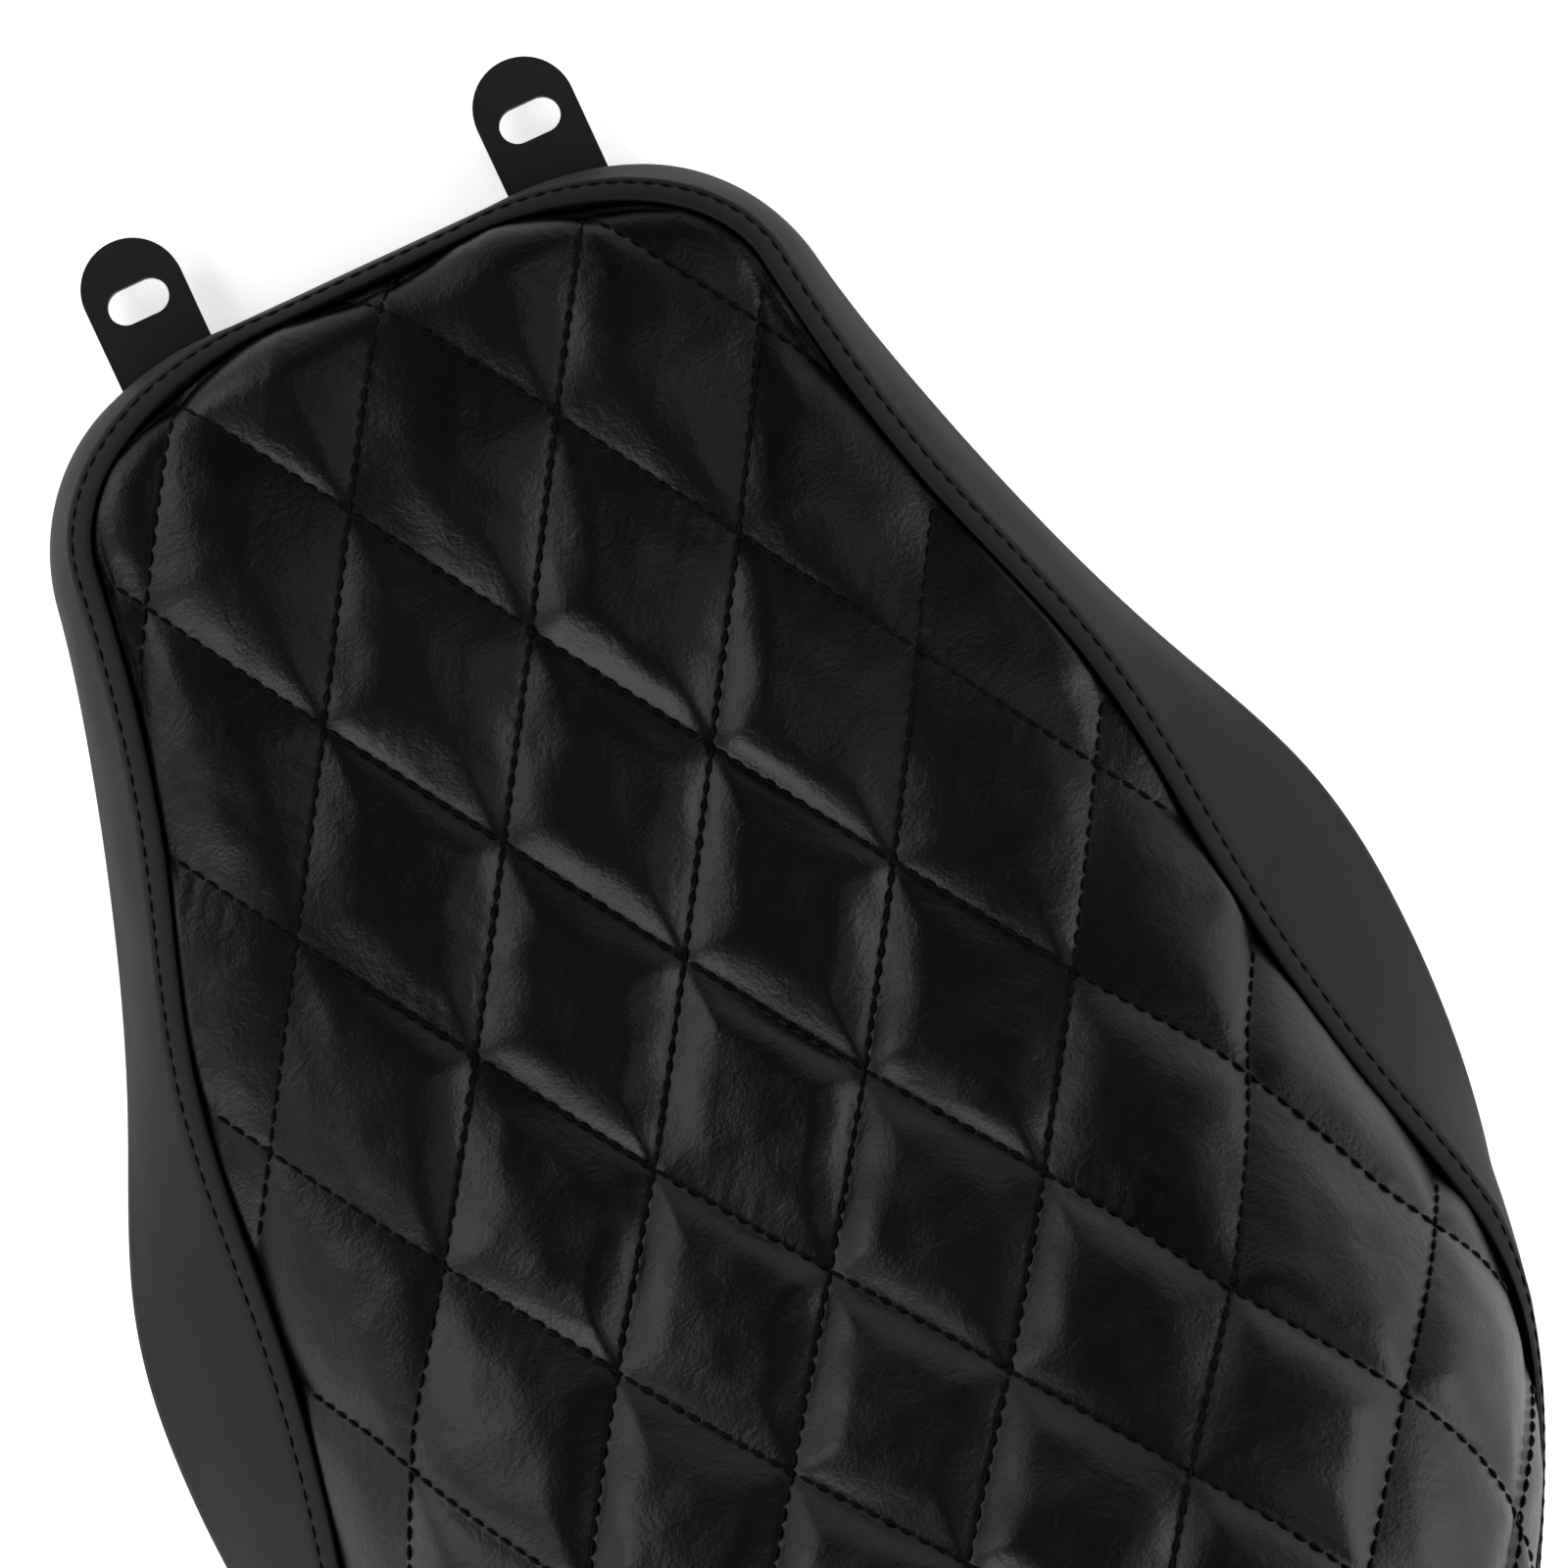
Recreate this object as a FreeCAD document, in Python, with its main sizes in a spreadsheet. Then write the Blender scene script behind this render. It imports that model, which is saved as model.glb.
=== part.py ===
import FreeCAD, Part

import math
import os

import Sketcher

V = FreeCAD.Vector

# Solo motorcycle seat. +Z is up, the nose points to -Y, +X is the rider's left.
# A station is the distance from the nose edge towards the tail.
# The bumpers stand on z = 0, and all lengths are in millimetres.

# ------------------------------------------------------------ driving dimensions
SIZES = {
    # the upholstered body
    "seat_length": 482.0,
    "nose_corner": 42.0,
    "seam_corner": 40.0,
    "seam_corner_wide": 58.0,
    "nose_lean": 5.5,
    "lean_end": 60.0,
    "tail_start": 250.0,
    "cover_thick": 1.2,
    "quilt_thick": 6.0,
    "lap_width": 4.6,
    "lap_thick": 1.1,
    "lap_lift": 0.4,
    "hem_width": 20.0,
    "part_gap": 0.05,
    # the steel pan, whose tail is bent up over the fender
    "pan_height": 10.0,
    "pan_thick": 2.0,
    "pan_wall": 12.0,
    "bend_start": 310.0,
    "bend_radius": 300.0,
    "bend_angle": 15.0,
    # the two slotted nose tabs
    "tab_width": 25.0,
    "tab_thick": 3.0,
    "tab_spacing": 103.6,
    "slot_ahead": 16.8,
    "tab_tip": 15.6,
    "tab_inside": 60.0,
    "slot_length": 15.4,
    "slot_width": 8.8,
    # the tail tab
    "tail_width": 30.0,
    "tail_reach": 12.0,
    "tail_inside": 64.0,
    "tail_hole": 8.5,
    # the tip's centre is all but on the hole's, because a sketch needs a length above 0
    "tail_lead": 0.001,
    # screws through the tabs, and the plates behind them
    "screw_first": 29.0,
    "screw_pitch": 20.0,
    "screw_shank": 6.0,
    "screw_head": 10.5,
    "head_tall": 2.6,
    "socket_flats": 4.0,
    "washer_outer": 12.5,
    "washer_thick": 1.2,
    "nut_flats": 10.0,
    "nut_tall": 5.0,
    "plate_thick": 2.0,
    "plate_width": 40.0,
    "plate_margin": 11.0,
    "shank_clear": 0.25,
    "screw_proud": 1.0,
    # room round small shanks, and round what the foam's pockets take in
    "bore_clear": 0.1,
    "pocket_clear": 0.4,
    # blind rivets that hold the hem
    "rivet_shank": 4.0,
    "rivet_head": 9.5,
    "rivet_head_tall": 1.3,
    "rivet_tail": 6.0,
    "rivet_tail_tall": 2.6,
    "rivet_pitch": 52.0,
    # rubber bumpers and the screws in them
    "bumper_top": 24.0,
    "bumper_foot": 19.0,
    "bumper_recess": 11.0,
    "bumper_web": 4.0,
    "tapping_shank": 4.8,
    "tapping_head": 9.0,
    "tapping_head_tall": 2.4,
    "tapping_reach": 9.5,
}

doc = FreeCAD.newDocument("solo_seat")
sheet = doc.addObject("Spreadsheet::Sheet", "Sizes")
for row, (alias, value) in enumerate(SIZES.items(), start=1):
    sheet.set(f"A{row}", alias)
    sheet.set(f"B{row}", str(value))
    sheet.setAlias(f"B{row}", alias)
doc.recompute()


def size(alias):
    """A driving dimension, read back from the sheet."""
    return float(sheet.get(alias))


LENGTH = size("seat_length")
COVER = size("cover_thick")
BEND = math.radians(size("bend_angle"))
NOSE_REACH = size("slot_ahead") + size("tab_tip")
TAIL_TIP = (size("tail_reach") + size("tail_width") / 2) * math.cos(BEND)
NOSE_Y = (NOSE_REACH - LENGTH - TAIL_TIP) / 2
GAP = size("part_gap")
UNDER_HEM = size("pan_height") - COVER - GAP
WIDE = 400.0
TALL = 220.0

# ------------------------------------------------------------ outline tables
# (station, value) pairs; a natural spline joins the values.
RIM_FLANK = ((0, 96), (47, 101.7), (75, 108.3), (118, 121.3), (160, 137.5), (203, 155.8),
             (231, 161), (260, 161.8), (300, 161), (345, 157), (400, 150.5), (482, 149))
SEAM_FLANK = ((0, 82.5), (46, 87.2), (104, 98.8), (160, 115.7), (217, 122), (245, 125.8),
              (274, 132.5), (302, 143), (331, 152.5), (360, 154), (400, 149.5), (482, 148))
SEAM_HEIGHT = ((0, 36.5), (60, 39), (120, 41.5), (180, 45), (240, 49), (280, 49.5), (320, 48),
               (350, 48), (380, 51), (420, 58), (450, 65), (482, 72))
CROWN_HEIGHT = ((0, 45), (40, 47), (80, 48.5), (120, 51), (160, 56), (200, 64.5),
                (240, 80.5), (280, 102), (320, 125), (355, 141), (390, 150), (420, 152),
                (450, 150), (482, 146))
SQUARENESS = ((0, 5), (60, 5), (150, 5.4), (200, 5.2), (250, 4.4), (300, 3.2), (340, 2.7),
              (390, 2.4), (482, 2.2))
BELLY = ((0, 0), (300, 0), (340, 3), (390, 6), (440, 7), (482, 6))
NOSE_ROUNDING = 15.0
NOSE_RISE_FROM = 1.0
TAIL_ROUNDING = 92.0
EDGE_POWER = 0.75
STATIONS = (0, 0.7, 2.4, 5.5, 7, 10, 14, 20, 28, 40, 60, 90, 120, 150, 180, 210, 240, 270,
            300, 330, 360, 390, 415, 437, 455, 468, 476, 480.5)
TOP_STEPS = 9


def spline(table):
    """A natural cubic spline through a table, as a function of the station."""
    curve = Part.BSplineCurve()
    knots = [float(station) for station, _ in table]
    curve.interpolate(Points=[V(s, v, 0) for s, v in table], Parameters=knots)

    def value(at):
        return curve.value(min(max(at, knots[0]), knots[-1])).y

    return value


rim_flank, seam_flank = spline(RIM_FLANK), spline(SEAM_FLANK)
seam_height, crown_height = spline(SEAM_HEIGHT), spline(CROWN_HEIGHT)
squareness, belly = spline(SQUARENESS), spline(BELLY)


def round_off(gap, radius):
    """0 at the end of a rounded edge, rising along a quarter circle to 1."""
    share = min(max(gap / radius, 0.0), 1.0)
    return math.sqrt(1 - (1 - share) ** 2)


def half_width(flank, wide, deep, at):
    """Half-width of an outline whose nose corners are wide by deep, with a round tail."""
    nose = wide * (1 - round_off(at, deep))
    tail = round_off(LENGTH - at, LENGTH - size("tail_start"))
    return (flank(at) - nose) * tail


def rim_half(at):
    return half_width(rim_flank, size("nose_corner"), size("nose_corner"), at)


def seam_half(at):
    return half_width(seam_flank, size("seam_corner_wide"), size("seam_corner"), at)


def pan_rise(at):
    """Height and slope of the pan's underside: flat, then an arc, then straight."""
    start, radius = size("bend_start"), size("bend_radius")
    end = start + radius * math.sin(BEND)
    if at <= start:
        return size("pan_height"), 0.0
    if at <= end:
        angle = math.asin((at - start) / radius)
        return size("pan_height") + radius * (1 - math.cos(angle)), angle
    rise = radius * (1 - math.cos(BEND)) + (at - end) * math.tan(BEND)
    return size("pan_height") + rise, BEND


def point(x, at, z):
    return V(x, NOSE_Y + at, z)


def curve_through(points, closed=False):
    curve = Part.BSplineCurve()
    curve.interpolate(Points=points, PeriodicFlag=closed)
    return curve.toShape()


# ------------------------------------------------------------ the upholstered body
def section(at, rim_in, seam_in, top, under, lap):
    """Closed cross-section of the body, drawn in at its rim, seam, top and underside.

    A lap above 0 thickens the wall by that much just under the seam.
    """
    place = rim_in + at / LENGTH * (LENGTH - 2 * rim_in)
    rim, seam = rim_half(at) - rim_in, seam_half(at) - seam_in
    hem, edge = pan_rise(place)[0] - COVER, seam_height(place)
    lean = size("nose_lean") * max(0.0, 1 - place / size("lean_end")) ** 2 / (edge - hem)

    def leaned(x, z):
        return point(x, place + lean * (z - hem), z)

    ends = round_off(at + NOSE_RISE_FROM, NOSE_ROUNDING) * round_off(LENGTH - at, TAIL_ROUNDING)
    rise = (crown_height(place) - edge - top) * ends
    over = []
    for step in range(-TOP_STEPS, TOP_STEPS + 1):
        along = math.sin(math.pi / 2 * step / TOP_STEPS)
        share = (1 - abs(along) ** squareness(at)) ** EDGE_POWER
        bulge = math.copysign(4 * share * (1 - share) * belly(at) * ends, along)
        over.append(leaned(along * seam + bulge, edge + rise * share))
    left, right = leaned(-rim, hem + under), leaned(rim, hem + under)
    walls = [[over[0], left], [right, over[-1]]]
    if lap:
        fold = size("lap_width") / over[-1].distanceToPoint(right)
        out = V(lap, 0, 0)
        ridge = over[-1] + fold * (right - over[-1])
        mirrored = V(-ridge.x, ridge.y, ridge.z)
        over = [over[0] - out] + over[1:-1] + [over[-1] + out]
        walls = [[over[0], mirrored - out, mirrored, left], [right, ridge, ridge + out, over[-1]]]
    lines = walls[0] + walls[1]
    edges = [Part.makeLine(a, b) for a, b in zip(lines, lines[1:])]
    return Part.Wire(edges + [curve_through(over[::-1])])


def side_prism(outline):
    """A solid across the whole width whose side view is a closed outline."""
    wire = Part.Wire(Part.sortEdges(outline)[0])
    wire.translate(V(-WIDE / 2, 0, 0))
    return Part.Face(wire).extrude(V(WIDE, 0, 0))


def below_seam(lift):
    """Everything under the seam line, moved up by lift."""
    low, before, after = -60.0, -30.0, LENGTH + 30.0
    line = [point(0, before, seam_height(0) + lift)]
    line += [point(0, LENGTH * k / 16, seam_height(LENGTH * k / 16) + lift) for k in range(17)]
    line += [point(0, after, seam_height(LENGTH) + lift)]
    front, back = point(0, before, low), point(0, after, low)
    return side_prism([
        curve_through(line),
        Part.makeLine(line[-1], back),
        Part.makeLine(back, front),
        Part.makeLine(front, line[0]),
    ])


def above_pan(lift):
    """Everything more than lift above the pan's underside, following its bend."""
    before, after, step = -20, 521, 20
    rises = [point(0, at, pan_rise(at)[0] + lift) for at in range(before, after, step)]
    front, back = rises[0] + V(0, 0, TALL), rises[-1] + V(0, 0, TALL)
    return side_prism([
        curve_through(rises),
        Part.makeLine(rises[-1], back),
        Part.makeLine(back, front),
        Part.makeLine(front, rises[0]),
    ])


def hull(rim_in, seam_in, top, under, lap=0.0):
    """The body as one solid, drawn in at its rim, seam, top and underside."""
    wires = [section(at, rim_in, seam_in, top, under, lap) for at in STATIONS]
    return Part.makeLoft(wires, True, False)


def between(outer, inner):
    """The outer solid, hollowed by an inner one that it encloses."""
    return Part.Solid(Part.makeCompound([outer.Shells[0], inner.Shells[0].reversed()]))


def rim_outline(inset, steps=28):
    """Points of the rim in plan, moved inwards, anticlockwise from the nose."""
    half = [LENGTH * (1 - math.cos(math.pi * k / steps)) / 2 for k in range(steps + 1)]
    rim = [(rim_half(at), at) for at in half]
    nose = [(rim_half(0) * k / 2, 0.0) for k in (-1, 0, 1)]
    loop = nose + rim + [(-x, at) for x, at in rim[-2::-1]]
    moved = []
    for k, (x, at) in enumerate(loop):
        (x0, at0), (x1, at1) = loop[k - 1], loop[(k + 1) % len(loop)]
        reach = math.hypot(x1 - x0, at1 - at0)
        moved.append((x - inset * (at1 - at0) / reach, at + inset * (x1 - x0) / reach))
    return moved


def rim_prism(inset):
    """A solid of full height whose plan is the rim, moved inwards."""
    low, tall = -60.0, 280.0
    edge = curve_through([point(x, at, low) for x, at in rim_outline(inset)], closed=True)
    return Part.Face(Part.Wire(edge)).extrude(V(0, 0, tall))


# ------------------------------------------------------------ bound hardware
GRIP = "(Sizes.cover_thick + Sizes.pan_thick + 3 * Sizes.part_gap)"


def primitive(kind, name, **bound):
    """A Part primitive whose properties are bound to the sheet."""
    thing = doc.addObject(kind, name)
    for prop, expression in bound.items():
        thing.setExpression(prop.replace("__", "."), expression)
    return thing


def fused(name, *pieces):
    joined = doc.addObject("Part::MultiFuse", name)
    joined.Shapes = list(pieces)
    return joined


def cut(name, base, tool):
    left = doc.addObject("Part::Cut", name)
    left.Base, left.Tool = base, tool
    return left


def cylinder(name, radius, height, z="0"):
    return primitive("Part::Cylinder", name, Radius=radius, Height=height,
                     Placement__Base__z=z)


def hexagon(name, flats, height, z="0"):
    prism = primitive("Part::Prism", name, Circumradius=f"{flats} / sqrt(3)", Height=height,
                      Placement__Base__z=z)
    prism.Polygon = 6
    return prism


def make_screw():
    """A socket-head screw; z = 0 is under its head, and its shank points up."""
    reach = f"Sizes.washer_thick + Sizes.tab_thick + {GRIP} + Sizes.plate_thick + Sizes.nut_tall"
    reach += " + Sizes.screw_proud"
    head = cylinder("ScrewHead", "Sizes.screw_head / 2", "Sizes.head_tall", "-Sizes.head_tall")
    shank = cylinder("ScrewShank", "Sizes.screw_shank / 2", reach)
    socket = hexagon("ScrewSocket", "Sizes.socket_flats", "Sizes.head_tall * 0.6",
                     "-Sizes.head_tall")
    return cut("Screw", fused("ScrewBlank", head, shank), socket)


def make_washer():
    disc = cylinder("WasherDisc", "Sizes.washer_outer / 2", "Sizes.washer_thick")
    bore = cylinder("WasherBore", "Sizes.screw_shank / 2 + Sizes.shank_clear",
                    "Sizes.washer_thick")
    return cut("Washer", disc, bore)


def make_nut():
    blank = hexagon("NutBlank", "Sizes.nut_flats", "Sizes.nut_tall")
    bore = cylinder("NutBore", "Sizes.screw_shank / 2 + Sizes.part_gap", "Sizes.nut_tall")
    return cut("Nut", blank, bore)


def make_rivet():
    """A blind rivet; z = 0 is the face its head lies on, and its tail points up."""
    head = cylinder("RivetHead", "Sizes.rivet_head / 2", "Sizes.rivet_head_tall",
                    "-Sizes.rivet_head_tall")
    shank = cylinder("RivetShank", "Sizes.rivet_shank / 2", GRIP)
    tail = cylinder("RivetTail", "Sizes.rivet_tail / 2", "Sizes.rivet_tail_tall", GRIP)
    return fused("Rivet", head, shank, tail)


def make_tapping_screw():
    """The screw in a bumper; z = 0 is under its head."""
    head = cylinder("TappingHead", "Sizes.tapping_head / 2", "Sizes.tapping_head_tall",
                    "-Sizes.tapping_head_tall")
    shank = cylinder("TappingShank", "Sizes.tapping_shank / 2", "Sizes.tapping_reach")
    return fused("TappingScrew", head, shank)


def make_bumper(label, x, at):
    """A tapered rubber foot with a recess for its screw, standing on z = 0."""
    foot = primitive("Part::Cone", f"{label}_foot", Radius1="Sizes.bumper_foot / 2",
                     Radius2="Sizes.bumper_top / 2",
                     Height="Sizes.pan_height - Sizes.cover_thick - Sizes.part_gap")
    recess = cylinder(f"{label}_recess", "Sizes.bumper_recess / 2",
                      "Sizes.pan_height - Sizes.cover_thick - Sizes.bumper_web")
    hole = cylinder(f"{label}_hole", "Sizes.tapping_shank / 2 + Sizes.bore_clear",
                    "Sizes.pan_height")
    bumper = cut(label, foot, fused(f"{label}_hollow", recess, hole))
    bumper.Placement.Base = point(x, at, 0)
    return bumper


def make_plate(label, width, length, spots, lift, place):
    """A steel backing plate behind a tab, centred on its local x = 0."""
    blank = primitive("Part::Box", f"{label}_blank", Length=width, Width=length,
                      Height="Sizes.plate_thick", Placement__Base__x=f"-({width}) / 2",
                      Placement__Base__y="Sizes.screw_first - Sizes.plate_margin",
                      Placement__Base__z=lift)
    holes = []
    for k, (across, along) in enumerate(spots):
        hole = cylinder(f"{label}_hole_{k}", "Sizes.screw_shank / 2 + Sizes.shank_clear",
                        "Sizes.plate_thick", lift)
        hole.setExpression("Placement.Base.x", across)
        hole.setExpression("Placement.Base.y", along)
        holes.append(hole)
    plate = cut(label, blank, fused(f"{label}_holes", *holes))
    plate.Placement = place
    return plate


def new_sketch(body, name):
    """A sketch on the XY plane of a body."""
    sketch = body.newObject("Sketcher::SketchObject", name)
    plane = next(f for f in body.Origin.OriginFeatures if f.Role == "XY_Plane")
    sketch.AttachmentSupport = [(plane, "")]
    sketch.MapMode = "FlatFace"
    return sketch


def bind(sketch, kind, *where, name, expression):
    """A dimension of a sketch, bound to the sheet."""
    index = sketch.addConstraint(Sketcher.Constraint(kind, *where, 1.0))
    sketch.renameConstraint(index, name)
    sketch.setExpression(f"Constraints.{name}", expression)


def sketch_tongue(sketch, radius, ahead, behind):
    """A strip along Y with a half-round end at -Y, its length measured from y = 0."""
    r, a, b = 12.0, 3.0, 70.0
    end = Part.Circle(V(0, -a, 0), V(0, 0, 1), r)
    sketch.addGeometry(Part.ArcOfCircle(end, math.pi, 2 * math.pi))
    sketch.addGeometry(Part.LineSegment(V(r, -a, 0), V(r, b, 0)))
    sketch.addGeometry(Part.LineSegment(V(r, b, 0), V(-r, b, 0)))
    sketch.addGeometry(Part.LineSegment(V(-r, b, 0), V(-r, -a, 0)))
    sketch.addConstraint([
        Sketcher.Constraint("Tangent", 0, 2, 1, 1),
        Sketcher.Constraint("Coincident", 1, 2, 2, 1),
        Sketcher.Constraint("Coincident", 2, 2, 3, 1),
        Sketcher.Constraint("Tangent", 3, 2, 0, 1),
        Sketcher.Constraint("Horizontal", 2),
        Sketcher.Constraint("Vertical", 1),
        Sketcher.Constraint("PointOnObject", 0, 3, -2),
    ])
    bind(sketch, "Radius", 0, name="end_radius", expression=radius)
    bind(sketch, "DistanceY", 0, 3, -1, 1, name="ahead", expression=ahead)
    bind(sketch, "DistanceY", -1, 1, 1, 2, name="behind", expression=behind)


def sketch_slot(sketch, length, width):
    """A slot along X, centred on the origin."""
    c, r = 4.0, 4.0
    left = Part.Circle(V(-c, 0, 0), V(0, 0, 1), r)
    right = Part.Circle(V(c, 0, 0), V(0, 0, 1), r)
    sketch.addGeometry(Part.ArcOfCircle(left, math.pi / 2, 3 * math.pi / 2))
    sketch.addGeometry(Part.ArcOfCircle(right, -math.pi / 2, math.pi / 2))
    sketch.addGeometry(Part.LineSegment(V(-c, -r, 0), V(c, -r, 0)))
    sketch.addGeometry(Part.LineSegment(V(c, r, 0), V(-c, r, 0)))
    sketch.addConstraint([
        Sketcher.Constraint("Tangent", 0, 2, 2, 1),
        Sketcher.Constraint("Tangent", 2, 2, 1, 1),
        Sketcher.Constraint("Tangent", 1, 2, 3, 1),
        Sketcher.Constraint("Tangent", 3, 2, 0, 1),
        Sketcher.Constraint("Equal", 0, 1),
        Sketcher.Constraint("Horizontal", 2),
        Sketcher.Constraint("Symmetric", 0, 3, 1, 3, -1, 1),
    ])
    bind(sketch, "Radius", 0, name="end_radius", expression=f"{width} / 2")
    bind(sketch, "DistanceX", 0, 3, 1, 3, name="centres", expression=f"{length} - {width}")


def sketch_round(sketch, radius, along):
    """A circle on the Y axis."""
    index = sketch.addGeometry(Part.Circle(V(0, 10, 0), V(0, 0, 1), 3))
    sketch.addConstraint(Sketcher.Constraint("PointOnObject", index, 3, -2))
    bind(sketch, "Radius", index, name=f"radius_{index}", expression=radius)
    bind(sketch, "DistanceY", -1, 1, index, 3, name=f"along_{index}", expression=along)


def pad(body, name, sketch, height):
    doc.recompute()
    feature = body.newObject("PartDesign::Pad", name)
    feature.Profile = sketch
    feature.setExpression("Length", height)
    doc.recompute()
    return feature


def pocket(body, name, sketch):
    """Cuts a sketch through the whole body, upwards from the sketch's plane."""
    doc.recompute()
    before = body.Shape.Volume
    feature = body.newObject("PartDesign::Pocket", name)
    feature.Profile = sketch
    feature.Type = "ThroughAll"
    feature.Reversed = True
    doc.recompute()
    if body.Shape.Volume >= before:
        raise RuntimeError(f"{name} cut nothing")


def make_tab(label, radius, ahead, behind, screws, place, opening):
    """A steel tongue; opening draws the hole or slot at its origin."""
    body = doc.addObject("PartDesign::Body", label)
    outline = new_sketch(body, f"{label}_outline")
    sketch_tongue(outline, radius, ahead, behind)
    pad(body, f"{label}_pad", outline, "Sizes.tab_thick")
    mount = new_sketch(body, f"{label}_opening")
    opening(mount)
    pocket(body, f"{label}_mount", mount)
    holes = new_sketch(body, f"{label}_holes")
    for along in screws:
        sketch_round(holes, "Sizes.screw_shank / 2 + Sizes.shank_clear", along)
    pocket(body, f"{label}_screw_holes", holes)
    body.Placement = place
    return body


# ------------------------------------------------------------ where things go
PARTS = {}


def keep(label, thing):
    """Registers an object as a sub-part, under the name of its file."""
    thing.Label = label
    PARTS[label] = thing
    return thing


def keep_shape(label, shape):
    """Registers a shape made by Part's own functions as a sub-part."""
    thing = doc.addObject("Part::Feature", label)
    thing.Shape = shape
    return keep(label, thing)


def keep_group(label, pattern, places):
    """Registers copies of one fastener as a sub-part of separate solids."""
    copies = []
    for place in places:
        copy = pattern.Shape.copy()
        copy.Placement = place.multiply(copy.Placement)
        copies.append(copy)
    return keep_shape(label, Part.makeCompound(copies))


def upright(x, at, z):
    return FreeCAD.Placement(point(x, at, z), FreeCAD.Rotation())


def on_pan(x, at):
    """A frame just under the hem's lower face, square to the pan."""
    height, slope = pan_rise(at)
    turn = FreeCAD.Rotation(V(1, 0, 0), math.degrees(slope))
    return FreeCAD.Placement(point(x, at, height) - turn.multVec(V(0, 0, COVER + GAP)), turn)


def post(place, radius, low, high):
    """A cylinder along a frame's z axis, used to make holes and pockets."""
    shape = Part.makeCylinder(radius, high - low, V(0, 0, low))
    shape.Placement = place
    return shape


SCREW_STATIONS = (size("screw_first"), size("screw_first") + size("screw_pitch"))
SCREW_ALONG = ("Sizes.screw_first", "(Sizes.screw_first + Sizes.screw_pitch)")
TAB_X = size("tab_spacing") / 2

# the tail frame: its origin is on the hem at the tail's edge, and +Y runs inwards
tail_turn = FreeCAD.Rotation(V(1, 0, 0), math.degrees(BEND)) * FreeCAD.Rotation(V(0, 0, 1), 180)
tail_place = FreeCAD.Placement(on_pan(0, LENGTH).Base, tail_turn)
nose_place = upright(0, 0, UNDER_HEM)

front_spots = [
    nose_place * FreeCAD.Placement(V(side * TAB_X, along, 0), FreeCAD.Rotation())
    for side in (1, -1)
    for along in SCREW_STATIONS
]
tail_spots = [
    tail_place * FreeCAD.Placement(V(0, along, 0), FreeCAD.Rotation())
    for along in SCREW_STATIONS
]
BUMPERS = {
    "bumper_front_left": (80, 92),
    "bumper_front_right": (-80, 92),
    "bumper_rear_left": (108, 272),
    "bumper_rear_right": (-108, 272),
}


def rivet_places():
    """Rivets at an even pitch round the middle of the hem, clear of the tabs."""
    loop = rim_outline(size("hem_width") / 2, 60)
    places, run, due = [], 0.0, size("rivet_pitch") / 2
    tab_gap = size("tab_width") / 2 + size("rivet_head")
    for (x0, at0), (x1, at1) in zip(loop, loop[1:]):
        if x0 < 0 or x1 < 0:
            continue
        reach = math.hypot(x1 - x0, at1 - at0)
        while run + reach >= due:
            share = (due - run) / reach
            x, at = x0 + share * (x1 - x0), at0 + share * (at1 - at0)
            at_nose_tab = at < size("hem_width") and abs(x - TAB_X) < tab_gap
            if x > tab_gap and not at_nose_tab:
                places += [on_pan(x, at), on_pan(-x, at)]
            due += size("rivet_pitch")
        run += reach
    return places


# ------------------------------------------------------------ hardware
def front_tab(label, x):
    place = upright(x, -size("slot_ahead"), UNDER_HEM - size("tab_thick"))
    screws = [f"{along} + Sizes.slot_ahead" for along in SCREW_ALONG]

    def opening(sketch):
        sketch_slot(sketch, "Sizes.slot_length", "Sizes.slot_width")

    return keep(label, make_tab(label, "Sizes.tab_width / 2",
                                "Sizes.tab_tip - Sizes.tab_width / 2",
                                "Sizes.slot_ahead + Sizes.tab_inside", screws, place, opening))


def tail_tab():
    shift = V(0, -size("tail_reach"), -size("tab_thick"))
    place = tail_place * FreeCAD.Placement(shift, FreeCAD.Rotation())
    screws = [f"{along} + Sizes.tail_reach" for along in SCREW_ALONG]

    def opening(sketch):
        index = sketch.addGeometry(Part.Circle(V(0, 0, 0), V(0, 0, 1), 4))
        sketch.addConstraint(Sketcher.Constraint("Coincident", index, 3, -1, 1))
        bind(sketch, "Radius", index, name="hole", expression="Sizes.tail_hole / 2")

    return keep("rear_tab", make_tab("rear_tab", "Sizes.tail_width / 2", "Sizes.tail_lead",
                                     "Sizes.tail_reach + Sizes.tail_inside", screws, place,
                                     opening))


front_tab("front_tab_left", TAB_X)
front_tab("front_tab_right", -TAB_X)
tail_tab()

screw, washer, nut = make_screw(), make_washer(), make_nut()
rivet, tapping = make_rivet(), make_tapping_screw()
plate_length = "Sizes.screw_pitch + 2 * Sizes.plate_margin"
front_plate = keep("front_backing_plate", make_plate(
    "front_backing_plate", "Sizes.tab_spacing + Sizes.plate_width", plate_length,
    [(f"{side} * Sizes.tab_spacing / 2", along) for side in (1, -1) for along in SCREW_ALONG],
    GRIP, nose_place))
rear_plate = keep("rear_backing_plate", make_plate(
    "rear_backing_plate", "Sizes.plate_width", plate_length,
    [("0", along) for along in SCREW_ALONG], GRIP, tail_place))
for label, (x, at) in BUMPERS.items():
    keep(label, make_bumper(label, x, at))
doc.recompute()


def lifted(places, lift):
    return [place * FreeCAD.Placement(V(0, 0, lift), FreeCAD.Rotation()) for place in places]


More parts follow.
